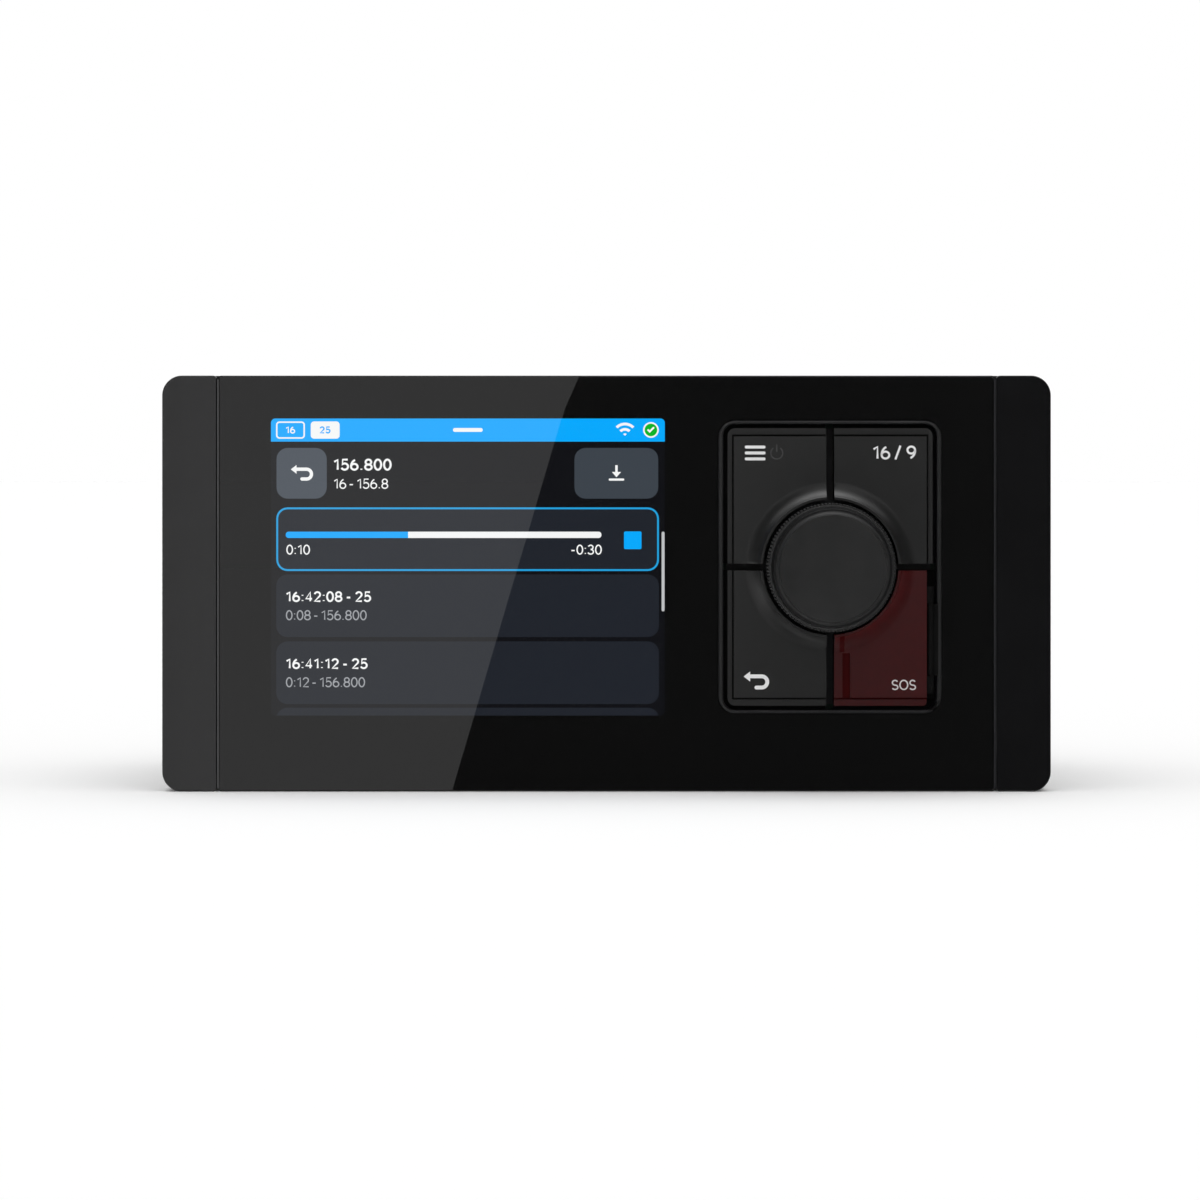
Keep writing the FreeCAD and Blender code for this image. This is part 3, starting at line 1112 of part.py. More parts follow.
def make_housing_seal():
    """Seal between bezel and housing, open at the corner screws."""
    piece = Piece("housing_seal")
    band = piece.front(HOUSING_FRONT).rectangle(NECK_WIDTH, NECK_HEIGHT, S.neck_corner)
    band.rectangle(NECK_WIDTH - S.neck_wall * 2, NECK_HEIGHT - S.neck_wall * 2)
    piece.pad(band, S.seal_thickness)


def make_housing_screws():
    """Four long-reach screws deep in the housing's corner channels."""
    piece = Piece("housing_screws")
    seat = HOUSING_FRONT - S.case_screw_seat
    length = S.case_screw_seat + S.seal_thickness + S.case_screw_grip
    piece.pad(four_corners(piece.front(seat), S.case_screw, POST_X, POST_Z), length)
    corners = [(POST_X * side_x, POST_Z * side_z) for side_x in (-1, 1) for side_z in (-1, 1)]
    heads = hexagons(piece.front(seat - S.case_screw * 2), S.case_head, corners)
    piece.pad(heads, S.case_screw * 2)


def make_socket_shell(name):
    """Turned shell of a rear socket: neck through the wall, flange, barrel and bore."""
    socket = SOCKETS[name]
    piece = Piece(f"{name}_socket", socket["x"], REAR_Y, S.socket_z)
    neck = socket["radius"] - S.socket_neck_step
    tail = -(S.rear_wall + S.socket_tail)
    floor = socket["length"] - socket["depth"]
    zero = Size.of(0.0)
    piece.spin(piece.flat(0).profile([
        (zero, tail), (neck, tail), (neck, zero), (socket["flange"], zero),
        (socket["flange"], S.socket_flange), (socket["radius"], S.socket_flange),
        (socket["radius"], socket["length"]), (socket["bore"], socket["length"]),
        (socket["bore"], floor), (zero, floor),
    ]))


def make_socket_nuts():
    """Hexagon nuts that hold the rear sockets, inside the rear wall."""
    piece = Piece("socket_nuts")
    nuts = piece.front(INNER_REAR)
    for socket in SOCKETS.values():
        neck = socket["radius"] - S.socket_neck_step
        nuts.polygon(neck + S.nut_margin, 6, socket["x"], S.socket_z)
        nuts.circle(neck + S.screw_fit, socket["x"], S.socket_z)
    piece.pad(nuts, S.nut_thickness)


def make_antenna_inner():
    """Insulator and centre contact of the antenna socket."""
    socket = SOCKETS["antenna"]
    floor = socket["length"] - socket["depth"]
    thickness = socket["depth"] - S.insert_thickness / 2
    insulator = Piece("antenna_insulator", socket["x"], REAR_Y, S.socket_z)
    disc = insulator.front(-floor).circle(S.antenna_bore - S.insert_fit)
    disc.circle(S.contact_radius + S.insert_fit)
    insulator.pad(disc, thickness, Reversed=True)
    contact = Piece("antenna_contact", socket["x"], REAR_Y, S.socket_z)
    contact.pad(contact.front(-floor).circle(S.contact_radius), socket["depth"], Reversed=True)
    contact.pocket(contact.front(-socket["length"]).circle(S.contact_bore), thickness, Reversed=True)


def make_socket_inner(name, pin_radius, ring_radius, count):
    """Insulating insert of a round socket and its ring of eight-sided pins."""
    socket = SOCKETS[name]
    floor = socket["length"] - socket["depth"]
    insert = Piece(f"{name}_insert", socket["x"], REAR_Y, S.socket_z)
    insert.pad(insert.front(-floor).circle(socket["bore"] - S.insert_fit), S.insert_thickness, Reversed=True)
    pins = Piece(f"{name}_pins", socket["x"], REAR_Y, S.socket_z)
    first = pins.front(-(floor + S.insert_thickness)).polygon(pin_radius, 8, ring_radius, 0.0)
    pin = pins.pad(first, S.pin_length, Reversed=True)
    axis = next(f for f in pins.body.Origin.OriginFeatures if f.Role == "Y_Axis")
    pins.repeat("PolarPattern", pin, (axis, [""]), Angle=360.0, Occurrences=count)


def make_ground_screw():
    """Earth terminal screw in the rear wall."""
    piece = Piece("ground_screw", LOW_ROW_X, REAR_Y, LOW_ROW_Z)
    piece.pad(piece.front(0).circle(S.ground_radius), S.rear_wall)
    piece.pad(piece.front(0).circle(S.ground_head), S.ground_head_height, Reversed=True)
    slot = piece.front(-S.ground_head_height).rectangle(S.ground_head * 2, S.head_height)
    piece.pocket(slot, S.head_height, Reversed=True)


def make_pressure_vent():
    """Breather plug in the rear wall."""
    piece = Piece("pressure_vent", -LOW_ROW_X, REAR_Y, LOW_ROW_Z)
    piece.pad(piece.front(0).circle(S.vent_neck), S.rear_wall)
    piece.pad(piece.front(0).circle(S.vent_head), S.vent_height, Reversed=True)


def build():
    """Make every sub-part."""
    make_front_bezel()
    make_dash_gasket()
    make_front_glass()
    make_glass_tape()
    make_trim_cap("left_trim_cap", -1)
    make_trim_cap("right_trim_cap", 1)
    make_keypad_surround()
    make_key("menu_button", -1, 1)
    make_key("channel_button", 1, 1)
    make_key("back_button", -1, -1)
    make_distress_button()
    make_distress_cover()
    make_hinge_pin()
    make_knob_cap()
    make_knob_grip_ring()
    make_encoder()
    make_keypad_mat()
    make_key_board()
    make_display()
    make_keypad_screws()
    make_ribbon("display_ribbon", SCREEN_X, FRAME_BACK, BOARD_TOP + S.display_ribbon_rise)
    make_ribbon("keypad_ribbon", KEYPAD_X, KEY_BOARD_BACK, BOARD_TOP + S.keypad_ribbon_rise)
    make_board_connectors()
    make_main_board()
    make_radio_modules()
    make_board_screws()
    make_rear_housing()
    make_housing_seal()
    make_housing_screws()
    for name in SOCKETS:
        make_socket_shell(name)
    make_socket_nuts()
    make_antenna_inner()
    make_socket_inner("network", S.network_pin, S.network_ring, S.network_pins)
    make_socket_inner("handset", S.handset_pin, S.handset_ring, S.handset_pins)
    make_socket_inner("power", S.power_pin, S.power_ring, S.power_pins)
    make_ground_screw()
    make_pressure_vent()


def check():
    """Stop on any failed object, empty cut or broken shape before a file is written."""
    for item in DOCUMENT.Objects:
        if "Invalid" in item.State or "Error" in item.State:
            raise RuntimeError(f"{item.Name}: {item.State} {item.getStatusString()}")
    for body in Piece.made:
        if body.Shape.isNull() or not body.Shape.isValid():
            raise RuntimeError(f"{body.Label}: no valid shape")
        steps = [f for f in body.Group if hasattr(f, "BaseFeature") and f.BaseFeature is not None]
        for step in steps:
            change = step.Shape.Volume - step.BaseFeature.Shape.Volume
            cuts = step.TypeId in ("PartDesign::Pocket", "PartDesign::Groove")
            if cuts and change > -1e-4:
                raise RuntimeError(f"{body.Label}: {step.Name} cuts nothing")


def write():
    """Write one file for each sub-part."""
    os.makedirs("parts", exist_ok=True)
    for body in Piece.made:
        body.Shape.exportStep(f"parts/{body.Label}.step")


build()
DOCUMENT.recompute()
check()
write()
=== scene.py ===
"""Looks of a flush-mounted marine VHF radio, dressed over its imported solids.

Metres, +Z up, and the face looks along -Y.  Sizes are written in millimetres, and a level is a
distance in front of the plane that seats on the dash.
"""

import json
import logging
import math
from dataclasses import dataclass, field
from enum import Enum
from typing import Callable, Sequence

import bmesh
import bpy
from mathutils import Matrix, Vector

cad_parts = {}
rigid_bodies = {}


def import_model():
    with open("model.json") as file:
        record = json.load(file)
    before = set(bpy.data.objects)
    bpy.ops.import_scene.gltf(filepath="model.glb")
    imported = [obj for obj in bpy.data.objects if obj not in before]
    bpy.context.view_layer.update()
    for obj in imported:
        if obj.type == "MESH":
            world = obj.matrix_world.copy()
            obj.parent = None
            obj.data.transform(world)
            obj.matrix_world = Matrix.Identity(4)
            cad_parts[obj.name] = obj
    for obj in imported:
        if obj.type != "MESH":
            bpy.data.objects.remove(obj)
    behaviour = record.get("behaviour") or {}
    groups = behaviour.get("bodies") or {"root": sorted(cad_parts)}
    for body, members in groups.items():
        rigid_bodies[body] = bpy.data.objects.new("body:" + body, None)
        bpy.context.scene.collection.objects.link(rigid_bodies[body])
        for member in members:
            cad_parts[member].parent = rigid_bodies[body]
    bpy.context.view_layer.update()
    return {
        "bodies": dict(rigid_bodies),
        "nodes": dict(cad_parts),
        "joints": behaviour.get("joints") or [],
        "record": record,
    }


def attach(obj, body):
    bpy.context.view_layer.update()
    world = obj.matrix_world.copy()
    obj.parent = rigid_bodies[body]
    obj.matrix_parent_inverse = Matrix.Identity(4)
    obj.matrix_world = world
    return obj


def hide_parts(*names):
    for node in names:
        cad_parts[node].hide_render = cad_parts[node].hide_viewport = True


LOG = logging.getLogger("radio")
MM = 0.001
GLASS_LEVEL = 11.0
KEY_LEVEL = 12.6
REAR_WALL = 78.8
KNOB_X, KNOB_Z = 46.0, 3.45
FLOOR_Z = -42.85

Point = tuple[float, float]
Place = tuple[float, float, float]
Colour = tuple[float, float, float]
Stroke = tuple[list[Point], bool]
Tree = bpy.types.NodeTree
Socket = bpy.types.NodeSocket
Thing = bpy.types.Object
Element = bmesh.types.BMVert | bmesh.types.BMEdge | bmesh.types.BMFace


def paint(code: str) -> Colour:
    """Linear colour of a six-digit display colour."""
    parts = [int(code[n:n + 2], 16) / 255 for n in (0, 2, 4)]
    return tuple(p / 12.92 if p <= 0.04045 else ((p + 0.055) / 1.055) ** 2.4 for p in parts)


def arc(centre: Point, radius: float, start: float, end: float, steps: int = 8) -> list[Point]:
    """Points along an arc.

    Args:
        centre: Middle of the arc.
        radius: Its radius.
        start: Angle of the first point, in degrees.
        end: Angle of the last point.
        steps: Number of chords.

    Returns:
        The points from start to end.
    """
    turns = [math.radians(start + (end - start) * n / steps) for n in range(steps + 1)]
    return [(centre[0] + radius * math.cos(t), centre[1] + radius * math.sin(t)) for t in turns]


def tab(width: float, height: float, left: float, right: float, foot_left: float = 0.0,
        foot_right: float = 0.0) -> list[Point]:
    """Outline of a box whose upper left corner is the origin, with a radius for each corner.

    Args:
        width: To the right.
        height: Downwards.
        left: Radius of the upper left corner.
        right: Radius of the upper right corner.
        foot_left: Radius of the lower left corner.
        foot_right: Radius of the lower right corner.

    Returns:
        The outline.
    """
    corners = ((left, -left, left, 180, 90), (width - right, -right, right, 90, 0),
               (width - foot_right, foot_right - height, foot_right, 0, -90),
               (foot_left, foot_left - height, foot_left, -90, -180))
    outline = []
    for x, y, radius, start, end in corners:
        outline += arc((x, y), radius, start, end) if radius else [(x, y)]
    return outline


def feed(tree: Tree, target: bpy.types.Node, given: dict[str | int, object]) -> None:
    """Set inputs of a shader node.

    Args:
        tree: Tree that the node is in.
        target: The node.
        given: Socket or value for each input, by the input's name or number.
    """
    for key, value in given.items():
        if isinstance(value, Socket):
            tree.links.new(value, target.inputs[key])
        else:
            target.inputs[key].default_value = value


def node(tree: Tree, kind: str, given: dict[str | int, object] | None = None,
         **settings: object) -> bpy.types.Node:
    """Add a shader node.

    Args:
        tree: Tree to build in.
        kind: Its type, without the prefix that all types share.
        given: Socket or value for each input that it needs.
        settings: Settings of the node.

    Returns:
        The node.
    """
    made = tree.nodes.new(f"ShaderNode{kind}")
    for name, value in settings.items():
        setattr(made, name, value)
    feed(tree, made, given or {})
    return made


def reckon(tree: Tree, step: str, *values: Socket | float) -> Socket:
    """Result of one sum in a node tree, from sockets or numbers."""
    return node(tree, "Math", dict(enumerate(values)), operation=step).outputs[0]


def mixed(tree: Tree, first: Colour | Socket, second: Colour, mask: Socket, amount: float) -> Socket:
    """Mix a colour or a colour socket with a second colour by a mask.

    Args:
        tree: Tree to build in.
        first: Colour, or the socket that gives it.
        second: Colour where the mask is 1.
        mask: Socket of the mask.
        amount: Most that the second colour shows.

    Returns:
        The socket of the mixed colour.
    """
    share = node(tree, "MapRange", {"Value": mask, "To Max": amount}).outputs["Result"]
    start = first if isinstance(first, Socket) else (*first, 1.0)
    given = {"A": start, "B": (*second, 1.0), "Factor": share}
    return node(tree, "Mix", given, data_type="RGBA").outputs["Result"]


class Body(Enum):
    """Rigid bodies that pieces ride on."""

    RADIO = "radio"
    MENU = "menu_button"
    CHANNEL = "channel_button"
    BACK = "back_button"
    DISTRESS = "distress_button"
    COVER = "distress_cover"
    KNOB = "knob"
    LEFT_CAP = "left_trim_cap"
    RIGHT_CAP = "right_trim_cap"


class Pattern(Enum):
    """Surface effects that a finish can carry."""

    GRAIN = "tool_grain"
    BRUSHED = "brushed_lines"
    CAST = "powder_coat"
    TRACES = "board_traces"
    WORN = "edge_wear"


class Effects:
    """Shader groups that several finishes share, each built once."""

    OUTPUTS = {Pattern.WORN: ("Mask",)}
    USUAL_OUTPUTS = ("Height", "Patch")
    PATCH_SIZE = 60.0

    @staticmethod
    def noise(tree: Tree, scale: Socket, detail: float, stretch: Place = (1, 1, 1)) -> Socket:
        """Noise on object coordinates.

        Args:
            tree: Group to build in.
            scale: Socket that gives the noise scale.
            detail: Octaves.
            stretch: Scale of the coordinates along each axis.

        Returns:
            The noise value's socket.
        """
        place = node(tree, "TexCoord").outputs["Object"]
        mapped = node(tree, "Mapping", {"Vector": place, "Scale": stretch}).outputs["Vector"]
        return node(tree, "TexNoise", {"Vector": mapped, "Scale": scale, "Detail": detail}).outputs["Fac"]

    @staticmethod
    def spread(tree: Tree, value: Socket, low: float, high: float, curve: str = "LINEAR") -> Socket:
        """Stretch the part of a value between two limits to the whole of 0 to 1."""
        limits = {"Value": value, "From Min": low, "From Max": high}
        return node(tree, "MapRange", limits, interpolation_type=curve).outputs["Result"]

    @classmethod
    def tool_grain(cls, tree: Tree, given: bpy.types.Node) -> dict[str, Socket]:
        """Fine texture of a moulding tool, with slow patches of more and less gloss.

        Args:
            tree: Group to build in.
            given: Node that gives the group's scale.

        Returns:
            What the group puts out.
        """
        fine = cls.noise(tree, given.outputs["Scale"], detail=3.0)
        slow = cls.noise(tree, reckon(tree, "DIVIDE", given.outputs["Scale"], cls.PATCH_SIZE), detail=2.0)
        return {"Height": fine, "Patch": cls.spread(tree, slow, 0.2, 0.8, "SMOOTHSTEP")}

    @classmethod
    def brushed_lines(cls, tree: Tree, given: bpy.types.Node) -> dict[str, Socket]:
        """Turning and polishing lines that run round an axis along Y."""
        lines = cls.noise(tree, given.outputs["Scale"], detail=4.0, stretch=(0.06, 1.0, 0.06))
        return {"Height": lines, "Patch": cls.spread(tree, lines, 0.35, 0.65)}

    @classmethod
    def powder_coat(cls, tree: Tree, given: bpy.types.Node) -> dict[str, Socket]:
        """Orange-peel skin of a powder coat over a casting."""
        peel = cls.noise(tree, given.outputs["Scale"], detail=1.5)
        return {"Height": cls.spread(tree, peel, 0.3, 0.7, "SMOOTHSTEP"), "Patch": peel}

    @classmethod
    def board_traces(cls, tree: Tree, given: bpy.types.Node) -> dict[str, Socket]:
        """Copper runs under a solder mask, on two crossing grids with soft breaks.

        Args:
            tree: Group to build in.
            given: Node that gives the group's scale.

        Returns:
            What the group puts out.
        """
        place = node(tree, "TexCoord").outputs["Object"]
        mask, copper = (0, 0, 0, 1), (1, 1, 1, 1)
        grid = {"Vector": place, "Scale": given.outputs["Scale"], "Color1": mask, "Color2": mask,
                "Mortar": copper, "Mortar Size": 0.08}
        runs = node(tree, "TexBrick", grid).outputs["Color"]
        return {"Height": runs, "Patch": runs}

    @classmethod
    def edge_wear(cls, tree: Tree, given: bpy.types.Node) -> dict[str, Socket]:
        """Mask of rubbed corners, broken up by noise.

        Args:
            tree: Group to build in.
            given: Node that gives the group's scale.

        Returns:
            What the group puts out.
        """
        bend = node(tree, "NewGeometry").outputs["Pointiness"]
        edge = cls.spread(tree, bend, 0.52, 0.62, "SMOOTHSTEP")
        scuff = cls.spread(tree, cls.noise(tree, given.outputs["Scale"], detail=3.0), 0.35, 0.65)
        return {"Mask": reckon(tree, "MULTIPLY", edge, scuff)}

    @classmethod
    def place(cls, tree: Tree, pattern: Pattern, scale: float) -> bpy.types.Node:
        """Place an effect's group in a material; the group is built at its first use.

        Args:
            tree: The material's tree.
            pattern: The effect.
            scale: Its scale in this material.

        Returns:
            The group's node.
        """
        group = bpy.data.node_groups.get(pattern.value)
        if group is None:
            group = bpy.data.node_groups.new(pattern.value, "ShaderNodeTree")
            group.interface.new_socket(name="Scale", in_out="INPUT", socket_type="NodeSocketFloat")
            for label in cls.OUTPUTS.get(pattern, cls.USUAL_OUTPUTS):
                group.interface.new_socket(name=label, in_out="OUTPUT", socket_type="NodeSocketFloat")
            given = group.nodes.new("NodeGroupInput")
            made = getattr(cls, pattern.value)(group, given)
            feed(group, group.nodes.new("NodeGroupOutput"), made)
        return node(tree, "Group", {"Scale": scale}, node_tree=group)


@dataclass(frozen=True)
class Surface:
    """What covers a piece, as a material that is built once."""

    name: str

    def material(self) -> bpy.types.Material:
        """Give the material, built at its first use.

        Returns:
            The material.
        """
        made = bpy.data.materials.get(self.name)
        if made is None:
            made = bpy.data.materials.new(self.name)
            made.use_nodes = True
            self.fill(made.node_tree)
        return made

    def fill(self, tree: Tree) -> None:
        """Build the material's nodes in its tree."""
        raise NotImplementedError


@dataclass(frozen=True)
class Finish(Surface):
    """One finish of a surface: its colour, its gloss and the texture of how it was made."""

    colour: Colour
    roughness: float = 0.5
    second: Colour | None = None
    metallic: float = 0.0
    ior: float = 1.5
    specular: float = 0.5
    coat: float = 0.0
    coat_roughness: float = 0.06
    pattern: Pattern = Pattern.GRAIN
    scale: float = 5000.0
    depth: float = 0.08
    gloss_shift: float = 0.08
    patch_shade: float = 0.8
    wear: float = 0.0
    wear_scale: float = 1800.0
    wear_gain: float = 1.8
    wear_lift: float = 0.02

    def fill(self, tree: Tree) -> None:
        """Build the nodes: an effect that shifts colour and gloss, its bump, and wear on the corners.

        Args:
            tree: The material's tree.
        """
        effect = Effects.place(tree, self.pattern, self.scale)
        patch = effect.outputs["Patch"]
        darker = tuple(c * self.patch_shade for c in self.colour)
        colour = mixed(tree, self.colour, self.second or darker, patch, 1.0)
        if self.wear:
            rubbed = Effects.place(tree, Pattern.WORN, self.wear_scale).outputs["Mask"]
            lighter = tuple(min(1.0, c * self.wear_gain + self.wear_lift) for c in self.colour)
            colour = mixed(tree, colour, lighter, rubbed, self.wear)
        gloss = {"Value": patch, "To Min": max(0.0, self.roughness - self.gloss_shift),
                 "To Max": min(1.0, self.roughness + self.gloss_shift)}
        bump = {"Height": effect.outputs["Height"], "Strength": 1.0, "Distance": self.depth * MM}
        feed(tree, tree.nodes["Principled BSDF"], {
            "Base Color": colour, "Metallic": self.metallic, "IOR": self.ior,
            "Roughness": node(tree, "MapRange", gloss).outputs["Result"],
            "Specular IOR Level": self.specular, "Coat Weight": self.coat,
            "Coat Roughness": self.coat_roughness,
            "Normal": node(tree, "Bump", bump).outputs["Normal"],
        })


@dataclass(frozen=True)
class Glow(Surface):
    """A lit part of the picture, under the gloss of the front glass."""

    colour: Colour
    ground: float = 0.002
    roughness: float = 0.006
    ior: float = 1.43
    pixels: float = 9000.0
    dimming: float = 0.94

    def fill(self, tree: Tree) -> None:
        """Build the nodes: even light with a faint pixel pattern.

        Args:
            tree: The material's tree.
        """
        effect = Effects.place(tree, Pattern.GRAIN, self.pixels)
        dimmer = tuple(c * self.dimming for c in self.colour)
        feed(tree, tree.nodes["Principled BSDF"], {
            "Base Color": (self.ground, self.ground, self.ground, 1.0), "Roughness": self.roughness,
            "IOR": self.ior, "Emission Strength": 1.0,
            "Emission Color": mixed(tree, self.colour, dimmer, effect.outputs["Height"], 1.0),
        })


@dataclass(frozen=True)
class FloorWhite(Surface):
    """Matt white floor."""

    roughness: float = 0.9

    def fill(self, tree: Tree) -> None:
        """Set the shader to plain white without gloss."""
        feed(tree, tree.nodes["Principled BSDF"],
             {"Base Color": (1, 1, 1, 1), "Roughness": self.roughness, "Specular IOR Level": 0.0})


@dataclass(frozen=True)
class CardLight(Surface):
    """Even light that only reflections see; 1 is white."""

    light: float

    def fill(self, tree: Tree) -> None:
        """Show the light to glossy rays and nothing to any other.

        Args:
            tree: The material's tree.
        """
        tree.nodes.remove(tree.nodes["Principled BSDF"])
        seen = node(tree, "LightPath").outputs["Is Glossy Ray"]
        clear = node(tree, "BsdfTransparent").outputs[0]
        face = node(tree, "Emission", {"Strength": self.light}).outputs[0]
        both = node(tree, "MixShader", {"Fac": seen, 1: clear, 2: face}).outputs[0]
        feed(tree, tree.nodes["Material Output"], {"Surface": both})


class Look(Enum):
    """Every finish of the radio."""

    BEZEL = Finish("bezel_plastic", paint("161617"), 0.42, scale=6000, depth=0.02, gloss_shift=0.03,
                   wear=0.2)
    TRIM = Finish("trim_plastic", paint("101011"), 0.06, ior=1.435, scale=7000, depth=0.002,
                  gloss_shift=0.01, wear=0.15)
    # Painted highlight: a light grey gloss on the bezel's thin rib stands in for the light line along it.
    RIB = Finish("rib_painted_highlight", paint("38383a"), 0.1, ior=1.6, scale=7000, depth=0.002, gloss_shift=0.02)
    GLASS = Finish("front_glass_black", paint("0b0b0b"), 0.006, ior=1.42, scale=300, depth=0.0,
                   gloss_shift=0.004)
    RIM = Finish("rim_satin", paint("2f2f30"), 0.5, specular=0.12, scale=6000, depth=0.001)
    KEY = Finish("key_satin", paint("171717"), 0.36, specular=0.6, scale=9000, depth=0.004, gloss_shift=0.03,
                 wear=0.1)
    COVER = Finish("cover_smoked_red", paint("3d0406"), 0.34, second=paint("390305"), specular=0.36,
                   scale=40000, depth=0.001, gloss_shift=0.01)
    # Painted shade: a darker, matt red for the cover's groove, its notch and a band up the flare.
    COVER_DEEP = Finish("cover_red_painted_shade", paint("3c0102"), 0.5, specular=0.05, scale=3000, depth=0.002)
    BUTTON = Finish("button_red", paint("a31416"), 0.4, scale=7000, depth=0.01, wear=0.2)
    KNOB = Finish("knob_satin", paint("292929"), 0.42, specular=0.22, scale=9000, depth=0.004,
                  gloss_shift=0.03, wear=0.1)
    # Painted shade: a darker copy of the knob's finish for the cap's side.
    KNOB_SIDE = Finish("knob_side_painted_shade", paint("141415"), 0.45, specular=0.2, scale=9000, depth=0.004,
                       gloss_shift=0.03, wear=0.1)
    GRIP = Finish("grip_rubber", paint("070708"), 0.6, specular=0.04, scale=7000, depth=0.02, wear=0.2)
    # Painted shade: near black for faces that lie deep in grooves and gaps.
    RECESS = Finish("recess_painted_shade", paint("161616"), 0.7, specular=0.15, scale=6000, depth=0.005)
    # Painted shade: near black for the dark band along the cover's hinge.
    HINGE = Finish("hinge_shade", paint("0c0c0c"), 0.7, specular=0.1, scale=6000, depth=0.005)
    # Painted shade: a darker finish for the rim's walls that face the keys across the gap.
    GAP = Finish("gap_shade", paint("1c1c1c"), 0.35, scale=6000, depth=0.002, gloss_shift=0.03)
    RUBBER = Finish("soft_rubber", paint("141415"), 0.8, scale=4000, depth=0.03)
    SILICONE = Finish("silicone_mat", paint("3c3d3f"), 0.55, scale=5000, depth=0.01)
    HOUSING = Finish("powder_coated_casting", paint("1c1c1e"), 0.5, pattern=Pattern.CAST, scale=1500,
                     depth=0.05, wear=0.5)
    ALUMINIUM = Finish("machined_aluminium", (0.62, 0.63, 0.64), 0.3, metallic=1.0, pattern=Pattern.BRUSHED,
                       depth=0.01)
    STEEL = Finish("plated_steel", (0.55, 0.55, 0.56), 0.32, metallic=1.0, pattern=Pattern.BRUSHED,
                   depth=0.006)
    NICKEL = Finish("bright_nickel", (0.62, 0.6, 0.56), 0.2, metallic=1.0, pattern=Pattern.BRUSHED,
                    depth=0.004)
    GOLD = Finish("contact_gold", (0.78, 0.57, 0.25), 0.22, metallic=1.0, pattern=Pattern.BRUSHED,
                  depth=0.003)
    INSULATOR = Finish("socket_insulator", paint("d8d6cc"), 0.5, scale=4000, depth=0.01)
    INSERT = Finish("connector_plastic", paint("171718"), 0.45, scale=5000, depth=0.015, wear=0.2)
    BOARD = Finish("solder_mask", (0.012, 0.09, 0.04), 0.3, second=(0.03, 0.2, 0.09), pattern=Pattern.TRACES,
                   scale=260, depth=0.02, coat=0.3)
    KEY_BOARD = Finish("dark_solder_mask", (0.003, 0.02, 0.009), 0.4, second=(0.006, 0.04, 0.018),
                       pattern=Pattern.TRACES, scale=260, depth=0.02)
    MODULE = Finish("module_resin", paint("1f1f22"), 0.4, scale=4000, depth=0.02)
    PANEL = Finish("display_cell", (0.02, 0.03, 0.045), 0.08, scale=3000, depth=0.0)
    GUIDE = Finish("light_guide", (0.75, 0.76, 0.78), 0.25, scale=2000, depth=0.004)
    FILM = Finish("polyimide_film", (0.42, 0.2, 0.05), 0.3, second=(0.3, 0.13, 0.03), pattern=Pattern.BRUSHED,
                  scale=2500, depth=0.01)
    PRINT = Finish("white_print", paint("f6f6f6"), 0.5, scale=6000, depth=0.004, gloss_shift=0.04)
    PRINT_GREY = Finish("grey_print", paint("dcd5d5"), 0.5, scale=6000, depth=0.004, gloss_shift=0.04)
    PRINT_FAINT = Finish("faint_print", paint("424242"), 0.5, scale=6000, depth=0.004, gloss_shift=0.04)
    FIELD = Glow("picture_ground", paint("0a0b10"))
    BAR = Glow("picture_blue", paint("00aaff"))
    ROW = Glow("picture_row", paint("1e222a"))
    TILE = Glow("picture_tile", paint("3c434b"))
    TILE_LIGHT = Glow("picture_tile_light", paint("4b525b"))
    FRAME = Glow("picture_outline", paint("21a0dd"))
    WHITE = Glow("picture_white", paint("f7f8f8"))
    GREY = Glow("picture_grey", paint("a3a6ab"))
    GREEN = Glow("picture_green", paint("06b425"))
    SCROLL = Glow("picture_scroll_grey", paint("c2c4c6"))


